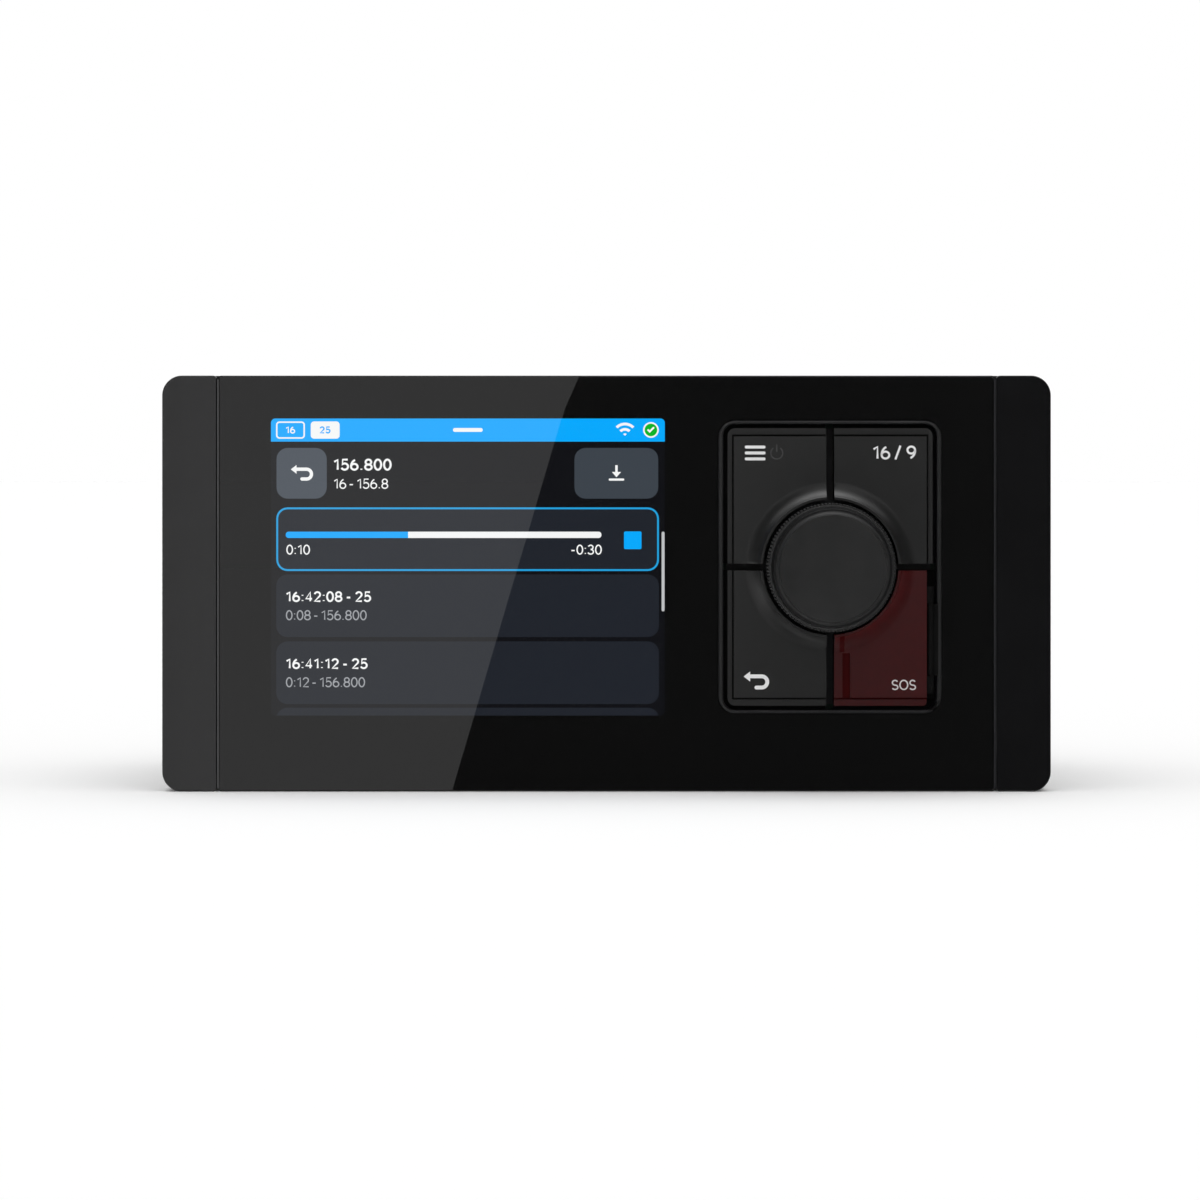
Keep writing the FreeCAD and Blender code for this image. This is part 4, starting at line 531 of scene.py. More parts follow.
class Bench:
    """Steps of mesh work, taken with Blender's own tools."""

    DOUBLES = 0.001 * MM
    FLAT_ANGLE = math.radians(0.4)
    SHARP_ANGLE = math.radians(32)
    SMOOTH_ANGLE = math.radians(50)
    ROUNDING_CHORDS = 2
    CORNER_CHORDS = 6

    @staticmethod
    def calm() -> None:
        """Leave edit mode and deselect everything."""
        if bpy.context.mode != "OBJECT":
            bpy.ops.object.mode_set(mode="OBJECT")
        bpy.ops.object.select_all(action="DESELECT")

    @staticmethod
    def take(obj: Thing) -> None:
        """Leave edit mode and make one object the only selected one.

        Args:
            obj: The object.
        """
        Bench.calm()
        obj.select_set(True)
        bpy.context.view_layer.objects.active = obj

    @staticmethod
    def edit(obj: Thing) -> None:
        """Open an object in edit mode with all of it selected.

        Args:
            obj: The object.
        """
        Bench.take(obj)
        bpy.ops.object.mode_set(mode="EDIT")
        bpy.ops.mesh.select_mode(type="VERT")
        bpy.ops.mesh.select_all(action="SELECT")

    @staticmethod
    def square(name: str) -> Thing:
        """Start a piece from a square one millimetre wide.

        Args:
            name: Name of the new piece.

        Returns:
            The piece, in edit mode with all of it selected.
        """
        Bench.calm()
        bpy.ops.mesh.primitive_plane_add(size=MM)
        obj = bpy.context.object
        obj.name = obj.data.name = name
        Bench.edit(obj)
        return obj

    @staticmethod
    def draw(name: str, points: Sequence[Point], closed: bool = True) -> Thing:
        """Draw a line through points by extruding one vertex from each to the next.

        Args:
            name: Name of the new piece.
            points: Corners, in millimetres.
            closed: Fill the outline with one face.

        Returns:
            The piece, still in edit mode with all of it selected.
        """
        obj = Bench.square(name)
        bpy.ops.mesh.merge(type="CENTER")
        x, y = points[0]
        bpy.ops.transform.translate(value=(x * MM, y * MM, 0))
        for (x, y), (next_x, next_y) in zip(points, points[1:]):
            step = ((next_x - x) * MM, (next_y - y) * MM, 0)
            bpy.ops.mesh.extrude_region_move(TRANSFORM_OT_translate={"value": step})
        bpy.ops.mesh.select_all(action="SELECT")
        if closed:
            bpy.ops.mesh.edge_face_add()
        return obj

    @staticmethod
    def raise_up(thickness: float) -> None:
        """Give the selected flat shape a thickness.

        Args:
            thickness: In millimetres.
        """
        bpy.ops.mesh.extrude_region_move(TRANSFORM_OT_translate={"value": (0, 0, thickness * MM)})
        bpy.ops.mesh.select_all(action="SELECT")
        bpy.ops.mesh.normals_make_consistent(inside=False)

    @staticmethod
    def cut_out(name: str, outline: Sequence[Point], thickness: float) -> Thing:
        """Flat piece of any outline.

        Args:
            name: Name of the new piece.
            outline: Its corners, in millimetres.
            thickness: Along Z.

        Returns:
            The piece, lying at the origin.
        """
        obj = Bench.draw(name, outline)
        Bench.raise_up(thickness)
        return obj

    @staticmethod
    def plate(name: str, size: Point, corner: float, thickness: float, hollow: float = 0.0) -> Thing:
        """Flat plate with round corners, or a frame of that outline.

        Args:
            name: Name of the new piece.
            size: Its sides along X and Y.
            corner: Corner radius.
            thickness: Along Z.
            hollow: Width of the frame's line; 0 keeps the plate whole.

        Returns:
            The piece, lying at the origin.
        """
        obj = Bench.square(name)
        bpy.ops.transform.resize(value=(*size, 1))
        bpy.ops.mesh.bevel(offset=corner * MM, affect="VERTICES", segments=Bench.CORNER_CHORDS)
        bpy.ops.mesh.select_all(action="SELECT")
        if hollow:
            bpy.ops.mesh.inset(thickness=hollow * MM)
            bpy.ops.mesh.delete(type="FACE")
            bpy.ops.mesh.select_all(action="SELECT")
        Bench.raise_up(thickness)
        return obj

    @staticmethod
    def turn(name: str, section: Sequence[Point], steps: int) -> Thing:
        """Turned piece round an axis along Y, from a closed or open half section.

        Args:
            name: Name of the new piece.
            section: Radius and Y of the section's corners.
            steps: Chords in the full turn.

        Returns:
            The piece, round the Y axis.
        """
        obj = Bench.draw(name, section, closed=False)
        bpy.ops.mesh.spin(steps=steps, angle=math.tau, center=(0, 0, 0), axis=(0, 1, 0))
        bpy.ops.mesh.select_all(action="SELECT")
        bpy.ops.mesh.remove_doubles(threshold=2 * Bench.DOUBLES)
        bpy.ops.mesh.normals_make_consistent(inside=False)
        return obj

    @staticmethod
    def figures(name: str, words: str, height: float, thickness: float, weight: float = 0.13,
                align: str = "LEFT") -> Thing:
        """Plain figures drawn with strokes of even width, as a thin raised piece.

        Args:
            name: Name of the new piece.
            words: What it shows.
            height: Height of a figure.
            thickness: Along Z.
            weight: Width of a stroke, as a share of the height.
            align: Side that the words start from.

        Returns:
            The piece, lying at the origin.
        """
        Bench.calm()
        strokes, length = Lettering.line(words, weight + Lettering.SPACE)
        start = {"LEFT": 0.0, "CENTER": -length / 2, "RIGHT": -length}[align]
        bpy.ops.curve.primitive_bezier_curve_add()
        obj = bpy.context.object
        obj.name = name
        curve = obj.data
        curve.splines.clear()
        curve.dimensions = "3D"
        curve.bevel_depth = weight / 2
        curve.bevel_resolution = 1
        curve.use_fill_caps = True
        for points, closed in strokes:
            spline = curve.splines.new("POLY")
            spline.points.add(len(points) - 1)
            for point, (x, y) in zip(spline.points, points):
                point.co = (x + start, weight / 2 + y * (1 - weight), 0, 1)
            spline.use_cyclic_u = closed
        bpy.ops.object.convert(target="MESH")
        obj = bpy.context.object
        obj.data.name = name
        Bench.edit(obj)
        bpy.ops.transform.translate(value=(0, 0, weight / 2))
        size = (height * MM, height * MM, thickness * MM / weight)
        bpy.ops.transform.resize(value=size, center_override=(0, 0, 0))
        bpy.ops.mesh.normals_make_consistent(inside=False)
        return obj

    @staticmethod
    def settle(obj: Thing, x: float, y: float, z: float, tilt: float = 0.0) -> None:
        """Move a piece's mesh, with its object kept at the origin.

        Args:
            obj: The piece.
            x: To the right, in millimetres.
            y: Backwards.
            z: Upwards.
            tilt: Turn round X before that, in radians.
        """
        Bench.take(obj)
        obj.rotation_euler = (tilt, 0, 0)
        obj.location = (x * MM, y * MM, z * MM)
        bpy.ops.object.transform_apply(location=True, rotation=True, scale=True)

    @staticmethod
    def stand(obj: Thing, x: float, level: float, z: float) -> None:
        """Turn a lying piece to face the front and put its back at a level."""
        Bench.settle(obj, x, -level, z, math.pi / 2)

    @staticmethod
    def pick(obj: Thing, mode: str, wanted: Callable[[Element], bool]) -> None:
        """Select what a rule wants, in edit mode.

        Args:
            obj: Object in edit mode.
            mode: VERT, EDGE or FACE.
            wanted: Rule on one element of the mesh.
        """
        bpy.ops.mesh.select_mode(type=mode)
        bpy.ops.mesh.select_all(action="DESELECT")
        mesh = bmesh.from_edit_mesh(obj.data)
        for item in {"VERT": mesh.verts, "EDGE": mesh.edges, "FACE": mesh.faces}[mode]:
            if wanted(item):
                item.select_set(True)
        bmesh.update_edit_mesh(obj.data)

    @staticmethod
    def refine(solid: Thing, name: str, edge: float, shape: Callable[[Thing], None] | None = None) -> Thing:
        """Merged copy of a solid's mesh with its sharp edges rounded.

        Args:
            solid: Object of the solid.
            name: Name of the new piece.
            edge: Width of the rounding, in millimetres.
            shape: Work in edit mode before the edges are rounded.

        Returns:
            The new piece.
        """
        obj = solid.copy()
        obj.data = solid.data.copy()
        obj.name = obj.data.name = name
        bpy.context.scene.collection.objects.link(obj)
        Bench.edit(obj)
        bpy.ops.mesh.customdata_custom_splitnormals_clear()
        bpy.ops.mesh.remove_doubles(threshold=Bench.DOUBLES)
        bpy.ops.mesh.dissolve_limited(angle_limit=Bench.FLAT_ANGLE)
        if shape:
            shape(obj)
        bpy.ops.object.mode_set(mode="OBJECT")
        rounding = obj.modifiers.new("rounding", "BEVEL")
        rounding.width = edge * MM
        rounding.segments = Bench.ROUNDING_CHORDS
        rounding.limit_method = "ANGLE"
        rounding.angle_limit = Bench.SHARP_ANGLE
        rounding.miter_outer = "MITER_ARC"
        bpy.ops.object.modifier_apply(modifier=rounding.name)
        return obj

    @staticmethod
    def level_normals(obj: Thing) -> None:
        """Shade smoothly round the edges and keep the large faces flat.

        Args:
            obj: The piece.
        """
        Bench.take(obj)
        bpy.ops.object.shade_smooth_by_angle(angle=Bench.SMOOTH_ANGLE)
        weighing = obj.modifiers.new("weighing", "WEIGHTED_NORMAL")
        weighing.mode = "FACE_AREA"
        weighing.weight = 100
        weighing.keep_sharp = True
        bpy.ops.object.modifier_apply(modifier=weighing.name)


class Lettering:
    """Centre lines of plain figures, on a height of 1 and a width of about 0.6."""

    SPACE = 0.07
    WIDTHS = {"1": 0.38, ":": 0.14, ".": 0.14, "/": 0.42, "-": 0.36, " ": 0.0, "O": 0.74}
    USUAL = 0.54

    @staticmethod
    def bow(centre: Point, wide: float, tall: float, start: float, end: float,
            steps: int = 14) -> list[Point]:
        """Part of an oval, with its angles in degrees."""
        ring = arc((0, 0), 1.0, start, end, steps)
        return [(centre[0] + x * wide, centre[1] + y * tall) for x, y in ring]

    @classmethod
    def strokes(cls, sign: str) -> list[Stroke]:
        """Strokes of one figure, each with whether it is closed.

        Args:
            sign: The figure.

        Returns:
            The strokes, or none for a space.
        """
        bow = cls.bow
        six = [(bow((0.27, 0.29), 0.27, 0.29, 0, 345, 23), True),
               ([*bow((0.5, 0.32), 0.5, 0.68, 182, 110, 10)], False)]
        drawn = {
            "0": [(bow((0.27, 0.5), 0.27, 0.5, 0, 350, 28), True)],
            "1": [([(0.02, 0.78), (0.3, 0.98), (0.3, 0.0)], False)],
            "2": [([*bow((0.27, 0.72), 0.25, 0.28, 170, -35), (0.02, 0.0), (0.54, 0.0)], False)],
            "3": [(bow((0.25, 0.76), 0.23, 0.24, 160, -90), False),
                  (bow((0.25, 0.26), 0.27, 0.26, 90, -160), False)],
            "4": [([(0.4, 0.0), (0.4, 1.0), (0.0, 0.27), (0.56, 0.27)], False)],
            "5": [([(0.5, 1.0), (0.1, 1.0), (0.05, 0.5),
                    *bow((0.25, 0.31), 0.28, 0.31, 125, -155)], False)],
            "6": six,
            "8": [(bow((0.27, 0.75), 0.23, 0.25, 0, 345, 23), True),
                  (bow((0.27, 0.26), 0.27, 0.26, 0, 345, 23), True)],
            "9": [([(0.54 - x, 1 - y) for x, y in line], closed) for line, closed in six],
            ":": [([(0.07, 0.02), (0.07, 0.12)], False), ([(0.07, 0.6), (0.07, 0.7)], False)],
            ".": [([(0.07, 0.0), (0.07, 0.1)], False)],
            "/": [([(0.0, -0.08), (0.36, 1.08)], False)],
            "-": [([(0.0, 0.4), (0.32, 0.4)], False)],
            "S": [([*bow((0.27, 0.74), 0.25, 0.26, 25, 270),
                    *bow((0.27, 0.24), 0.27, 0.24, 90, -155)], False)],
            "O": [(bow((0.37, 0.5), 0.37, 0.5, 0, 350, 28), True)],
        }
        return drawn.get(sign, [])

    @classmethod
    def line(cls, words: str, gap: float) -> tuple[list[Stroke], float]:
        """Strokes of a line of figures.

        Args:
            words: The figures.
            gap: Room between two of them.

        Returns:
            The strokes and the line's length.
        """
        strokes, reach = [], 0.0
        for sign in words:
            for points, closed in cls.strokes(sign):
                strokes.append(([(x + reach, y) for x, y in points], closed))
            reach += cls.WIDTHS.get(sign, cls.USUAL) + gap
        return strokes, reach - gap


@dataclass
class Assembly:
    """A group of pieces that is dressed together."""

    frame: dict
    made: int = field(default=0, init=False)

    def add(self, obj: Thing, look: Look, body: Body, slot: str, *nodes: str) -> None:
        """Finish a piece: smooth shading, its material and the body that it rides on.

        Args:
            obj: The piece.
            look: Its finish.
            body: Body that it rides on.
            slot: Material slot of the record that it belongs to; not used.
            nodes: Solids that it stands for.
        """
        Bench.level_normals(obj)
        obj.data.materials.clear()
        obj.data.materials.append(look.value.material())
        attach(obj, body.value)
        if nodes:
            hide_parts(*nodes)
        self.made += 1
        LOG.info("%s: %d faces", obj.name, len(obj.data.polygons))

    def coat(self, look: Look, *nodes: str) -> None:
        """Give solids that keep their own mesh a finish.

        Args:
            look: The finish.
            nodes: The solids.
        """
        for name in nodes:
            mesh = self.frame["nodes"][name].data
            mesh.materials.clear()
            mesh.materials.append(look.value.material())
            LOG.info("%s: %s", name, look.value.name)

    def soften(self, name: str, look: Look, slot: str, edge: float, body: Body = Body.RADIO,
               shape: Callable[[Thing], None] | None = None) -> Thing:
        """Stand a copy with rounded edges in for a solid.

        Args:
            name: The solid.
            look: Finish of the copy.
            slot: Material slot of the record that it belongs to.
            edge: Width of the rounding.
            body: Body that it rides on.
            shape: Work in edit mode before the edges are rounded.

        Returns:
            The copy.
        """
        piece = Bench.refine(self.frame["nodes"][name], f"{name}_shell", edge, shape)
        self.add(piece, look, body, slot, name)
        return piece

    @staticmethod
    def repaint(piece: Thing, look: Look, wanted: Callable[[Vector], bool]) -> None:
        """Give some of a piece's faces a finish of their own.

        Args:
            piece: The piece.
            look: The finish.
            wanted: Rule on the middle of a face, in millimetres.
        """
        piece.data.materials.append(look.value.material())
        for polygon in piece.data.polygons:
            if wanted(polygon.center / MM):
                polygon.material_index = len(piece.data.materials) - 1


@dataclass
class Face(Assembly):
    """Glass, bezel, trim caps and the rim round the keys."""

    bezel_edge: float = 0.04
    glass_edge: float = 0.08
    rim_edge: float = 0.12
    opening: Point = (22.05, 29.5)
    pane_cuts: Point = (18.0, 25.0)
    rib_x: float = 80.03
    rib_half_width: float = 0.3
    rib_level: float = 10.4
    hinge_left: float = 65.9
    cap_rounding: float = 0.1
    cap_edge: float = 0.4
    cap_edge_share: float = 0.3
    slack: float = 0.01

    def build(self) -> None:
        """Dress the front's fixed pieces."""
        bezel = self.soften("front_bezel", Look.BEZEL, "bezel_black", self.bezel_edge)
        # Painted highlight: the rib's faces take the light grey finish.
        self.repaint(bezel, Look.RIB, self.on_rib)
        self.soften("front_glass", Look.GLASS, "panel_glass", self.glass_edge, shape=self.part_pane)
        for cap in (Body.LEFT_CAP, Body.RIGHT_CAP):
            self.soften(cap.value, Look.TRIM, "trim_black", self.cap_rounding, cap, self.tighten)
        rim = self.soften("keypad_surround", Look.RIM, "rim_grey", self.rim_edge)
        # Painted shade: the rim's faces inside its opening.
        self.repaint(rim, Look.GAP, self.in_opening)
        # Painted shade: the part of the rim's opening beside the hinge.
        self.repaint(rim, Look.HINGE, self.by_hinge)
        self.coat(Look.RUBBER, "dash_gasket", "glass_tape", "housing_seal")

    def on_rib(self, place: Vector) -> bool:
        """Whether a place is on the bezel's thin front rib, between the glass and a trim cap."""
        return abs(abs(place.x) - self.rib_x) < self.rib_half_width and -place.y > self.rib_level

    def in_opening(self, place: Vector) -> bool:
        """Whether a place, in millimetres, lies inside the rim's opening for the keys."""
        return abs(place.x - KNOB_X) < self.opening[0] and abs(place.z - KNOB_Z) < self.opening[1]

    def by_hinge(self, place: Vector) -> bool:
        """Whether a place is in the part of that opening beside the cover's hinge."""
        return self.in_opening(place) and place.x > self.hinge_left and place.z < KNOB_Z

    def tighten(self, cap: Thing) -> None:
        """Make the round edge of a cap's front smaller, with the cap's outline kept.

        Args:
            cap: The cap, in edit mode.
        """
        mesh = bmesh.from_edit_mesh(cap.data)
        start, left = GLASS_LEVEL - self.cap_edge, self.cap_edge * self.cap_edge_share
        for vertex in mesh.verts:
            rise = (-vertex.co.y / MM - start) / self.cap_edge
            if rise > -self.slack:
                fall = 1 - math.sqrt(max(0.0, 1 - rise * rise))
                outward = Vector((vertex.normal.x, 0, vertex.normal.z)).normalized()
                vertex.co += outward * fall * (self.cap_edge - left) * MM
                vertex.co.y = (left * (1 - rise) - GLASS_LEVEL) * MM
        bmesh.update_edit_mesh(cap.data)

    def part_pane(self, glass: Thing) -> None:
        """Cut the pane in line with its opening's sides, so that no face of it is long and thin.

        Args:
            glass: The pane, in edit mode, which the cuts act on; the argument is not used.
        """
        for side in (-1, 1):
            x, z = (KNOB_X + side * self.pane_cuts[0]) * MM, (KNOB_Z + side * self.pane_cuts[1]) * MM
            for place, way in (((x, 0, 0), (1, 0, 0)), ((0, 0, z), (0, 0, 1))):
                bpy.ops.mesh.select_all(action="SELECT")
                bpy.ops.mesh.bisect(plane_co=place, plane_no=way)


@dataclass
class Picture(Assembly):
    """Lit picture on the touchscreen: plain figures and simple signs.

    Places are in millimetres to the right of and below the lit area's upper left corner.
    """

    left: float = -69.1
    top: float = 34.0
    size: Point = (81.1, 61.2)
    sheet: float = 0.015
    outer_corner: float = 0.9
    corner: float = 2.3
    bar_height: float = 4.75
    badge: Point = (5.95, 3.55)
    badge_down: float = 0.6
    badge_base: float = 3.1
    fan: Point = (72.9, 3.55)
    fan_width: float = 0.55
    tick: Point = (78.25, 2.35)
    tile_down: float = 6.05
    tile_height: float = 10.45
    title_left: float = 13.0
    row_left: float = 1.1
    row_width: float = 78.8
    row_height: float = 13.1
    player_down: float = 18.3
    progress: Point = (3.05, 23.3)
    progress_height: float = 1.3
    times_base: float = 28.05
    text_left: float = 3.2
    text_drops: Point = (5.7, 9.45)
    row_shorter: float = 0.2
    last_row: float = 59.55
    foot_gap: float = 0.05
    rows: tuple[tuple[float, str, str], ...] = (
        (32.1, "16:42:08 - 25", "0:08 - 156.800"), (45.9, "16:41:12 - 25", "0:12 - 156.800"))

    def put(self, obj: Thing, look: Look, place: Point, layer: int) -> None:
        """Stand a flat piece on the glass, a layer in front of what is behind it."""
        Bench.stand(obj, self.left + place[0], GLASS_LEVEL + self.sheet * layer, self.top - place[1])
        self.add(obj, look, Body.RADIO, "display_dark")

    def box(self, name: str, look: Look, place: Point, size: Point, corner: float, layer: int,
            hollow: float = 0.0) -> None:
        """Plate whose upper left corner is at a place."""
        middle = (place[0] + size[0] / 2, place[1] + size[1] / 2)
        self.put(Bench.plate(name, size, corner, self.sheet, hollow), look, middle, layer)

    def words(self, name: str, look: Look, text: str, place: Point, size: float, weight: float = 0.13,
              align: str = "LEFT", layer: int = 2) -> None:
        """Figures whose baseline starts at a place."""
        self.put(Bench.figures(name, text, size, self.sheet, weight, align), look, place, layer)

    def shape(self, name: str, look: Look, points: Sequence[Point], place: Point, layer: int = 2) -> None:
        """Sign cut from its outline, with its own origin at a place."""
        self.put(Bench.cut_out(name, points, self.sheet), look, place, layer)

    def build(self) -> None:
        """Make the picture from its ground to its signs."""
        self.box("picture_ground", Look.FIELD, (0, 0), self.size, self.outer_corner, 0)
        self.status_bar()
        self.heading()
        self.player()
        self.list_rows()
        self.box("picture_scroll", Look.SCROLL, (80.45, 23.3), (0.6, 16.4), 0.28, 1)

    def status_bar(self) -> None:
        """Blue bar with two badges, a handle, a fan of arcs and a tick."""
        bar = tab(self.size[0], self.bar_height, self.outer_corner, self.outer_corner)
        self.shape("picture_bar", Look.BAR, bar, (0, 0), 1)
        self.box("picture_badge_frame", Look.WHITE, (1.05, self.badge_down), self.badge, 0.7, 2, 0.3)
        self.words("picture_badge_left", Look.WHITE, "16", (4.0, self.badge_base), 1.5, 0.17, "CENTER")
        self.box("picture_badge", Look.WHITE, (8.2, self.badge_down), self.badge, 0.7, 2)
        self.words("picture_badge_right", Look.BAR, "25", (11.15, self.badge_base), 1.5, 0.19, "CENTER", 3)
        self.box("picture_handle", Look.WHITE, (37.5, 1.95), (6.1, 0.8), 0.38, 2)
        for number, radius in enumerate((0.5, 1.6, 2.7)):
            inner = arc((0, 0), radius - self.fan_width, 135, 45, 10) if number else [(0.0, 0.0)]
            outer = arc((0, 0), radius, 45, 135, 10)
            self.shape(f"picture_fan_{number}", Look.WHITE, outer + inner, self.fan)
        for name, look, radius, layer in (("ring", Look.WHITE, 1.62, 2), ("ground", Look.GREEN, 1.3, 3)):
            circle = arc((0, 0), radius, 0, 350, 35)
            self.shape(f"picture_tick_{name}", look, circle, self.tick, layer)
        tick = [(-0.75, 0.0), (-0.5, 0.27), (-0.2, -0.03), (0.55, 0.72), (0.8, 0.45), (-0.2, -0.55)]
        self.shape("picture_tick", Look.WHITE, tick, (78.2, 2.4), 4)

    def heading(self) -> None:
        """Return tile, channel figures and the keep tile."""
        down, height = self.tile_down, self.tile_height
        self.box("picture_return", Look.TILE_LIGHT, (1.15, down), (10.35, height), self.corner, 1)
        self.shape("picture_return_arrow", Look.WHITE, KeyMarks.return_arrow(4.5), (6.35, 11.3))
        self.words("picture_title", Look.WHITE, "156.800", (self.title_left, 10.75), 2.5, 0.17)
        self.words("picture_channel", Look.WHITE, "16 - 156.8", (self.title_left, 14.5), 2.15, 0.12)
        self.box("picture_keep", Look.TILE, (62.5, down), (17.25, height), self.corner, 1)
        arrow = [(-0.25, 1.5), (0.25, 1.5), (0.25, 0.1), (0.95, 0.1), (0.0, -1.0), (-0.95, 0.1),
                 (-0.25, 0.1)]
        self.shape("picture_keep_arrow", Look.WHITE, arrow, (71.15, 11.1))
        self.box("picture_keep_tray", Look.WHITE, (69.55, 12.35), (3.2, 0.45), 0.2, 2)

    def player(self) -> None:
        """Outlined row with a progress line, two times and a stop square."""
        place, size = (self.row_left, self.player_down), (self.row_width, self.row_height)
        self.box("picture_player", Look.ROW, place, size, self.corner, 1)
        self.box("picture_player_line", Look.FRAME, place, size, self.corner, 2, 0.39)
        self.box("picture_progress", Look.WHITE, self.progress, (65.0, self.progress_height), 0.6, 2)
        played = tab(25.2, self.progress_height, 0.6, 0, 0.6)
        self.shape("picture_played", Look.BAR, played, self.progress, 3)
        self.words("picture_time_now", Look.WHITE, "0:10", (3.3, self.times_base), 2.1)
        self.words("picture_time_left", Look.WHITE, "-0:30", (68.0, self.times_base), 2.1, align="RIGHT")
        self.box("picture_stop", Look.BAR, (72.7, 23.25), (3.6, 3.65), 0.3, 2)

    def list_rows(self) -> None:
        """Rows of the list, the last one cut off by the foot of the screen."""
        for number, (down, time, length) in enumerate(self.rows):
            first, second = ((self.text_left, down + drop) for drop in self.text_drops)
            self.box(f"picture_row_{number}", Look.ROW, (self.row_left, down),
                     (self.row_width, self.row_height - self.row_shorter), self.corner, 1)
            self.words(f"picture_time_{number}", Look.WHITE, time, first, 2.25, 0.17)
            self.words(f"picture_length_{number}", Look.GREY, length, second, 2.1, 0.12)
        turn = self.corner
        drop = self.size[1] - self.last_row - self.foot_gap
        tilt = math.degrees(math.asin(1 - drop / turn))
        top = [*arc((turn, -turn), turn, 180 - tilt, 90),
               *arc((self.row_width - turn, -turn), turn, 90, tilt)]
        self.shape("picture_row_last", Look.ROW, top, (self.row_left, self.last_row), 1)


@dataclass
class KeyMarks(Assembly):
    """Signs and figures printed on the keys."""

    raised: float = 0.03
    sunk: float = 0.01
    upper_z: float = 26.9
    bar: Point = (4.25, 0.6)
    bar_corner: float = 0.28
    bar_x: float = 30.55
    bar_step: float = 1.22
    power_x: float = 35.0
    power_radii: Point = (1.36, 1.1)
    power_sweep: Point = (125, 415)
    power_stroke: Point = (0.28, 1.5)
    power_stroke_corner: float = 0.1
    power_stroke_rise: float = 1.0
    figures: Point = (63.42, 25.55)
    figure_height: float = 2.88
    arrow: Point = (30.76, -20.0)
    arrow_width: float = 5.15
    letters: Point = (63.5, -21.85)
    letter_height: float = 2.15
    ring: Point = (58.6, -17.2)
    ring_radii: Point = (2.6, 3.1)
    ring_levels: Point = (11.05, 11.14)
    ring_chords: int = 48

    @staticmethod
    def return_arrow(width: float) -> list[Point]:
        """Outline of an arrow that turns back on itself.

        Args:
            width: From the arrow's tip to the outside of its bend.

        Returns:
            The outline, about its middle.
        """
        unit = width / 25.0
        bend = (5.5, -0.8)
        outline = [(-12.5, 4.6), (-6.0, 9.6), (-6.0, 6.7), *arc(bend, 7.5, 90, -90, 14)]
        outline += arc((0.2, -6.4), 1.9, 270, 90, 6)
        outline += [*arc(bend, 3.7, -90, 90, 12), (-6.0, 2.9), (-6.0, -0.4)]
        return [(x * unit, y * unit) for x, y in outline]

    def mark(self, obj: Thing, look: Look, body: Body, x: float, z: float) -> None:
        """Stand a printed mark on a key's face."""
        Bench.stand(obj, x, KEY_LEVEL - self.sunk, z)
        self.add(obj, look, body, "insulator_white")

    def build(self) -> None:
        """Make the marks of the four keys."""
        thick = self.raised + self.sunk
        for number in (-1, 0, 1):
            bar = Bench.plate(f"menu_bar_{number + 1}", self.bar, self.bar_corner, thick)
            self.mark(bar, Look.PRINT, Body.MENU, self.bar_x, self.upper_z + number * self.bar_step)
        (outer, inner), (start, end) = self.power_radii, self.power_sweep
        outline = [*arc((0, 0), outer, start, end, 28), *arc((0, 0), inner, end, start, 28)]
        circle = Bench.cut_out("power_ring", outline, thick)
        self.mark(circle, Look.PRINT_FAINT, Body.MENU, self.power_x, self.upper_z)
        stroke = Bench.plate("power_stroke", self.power_stroke, self.power_stroke_corner, thick)
        self.mark(stroke, Look.PRINT_FAINT, Body.MENU, self.power_x, self.upper_z + self.power_stroke_rise)
        figures = Bench.figures("channel_figures", "16 / 9", self.figure_height, thick, 0.15, "RIGHT")
        self.mark(figures, Look.PRINT, Body.CHANNEL, *self.figures)
        arrow = Bench.cut_out("back_arrow", self.return_arrow(self.arrow_width), thick)
        self.mark(arrow, Look.PRINT, Body.BACK, *self.arrow)
        letters = Bench.figures("cover_letters", "SOS", self.letter_height, thick, align="RIGHT")
        self.mark(letters, Look.PRINT_GREY, Body.COVER, *self.letters)
        (near, far), (back, front) = self.ring_radii, self.ring_levels
        section = [(near, -back), (near, -front), (far, -front), (far, -back)]
        ring = Bench.turn("button_ring", section, self.ring_chords)
        Bench.settle(ring, self.ring[0], 0, self.ring[1])
        self.add(ring, Look.PRINT, Body.DISTRESS, "insulator_white")


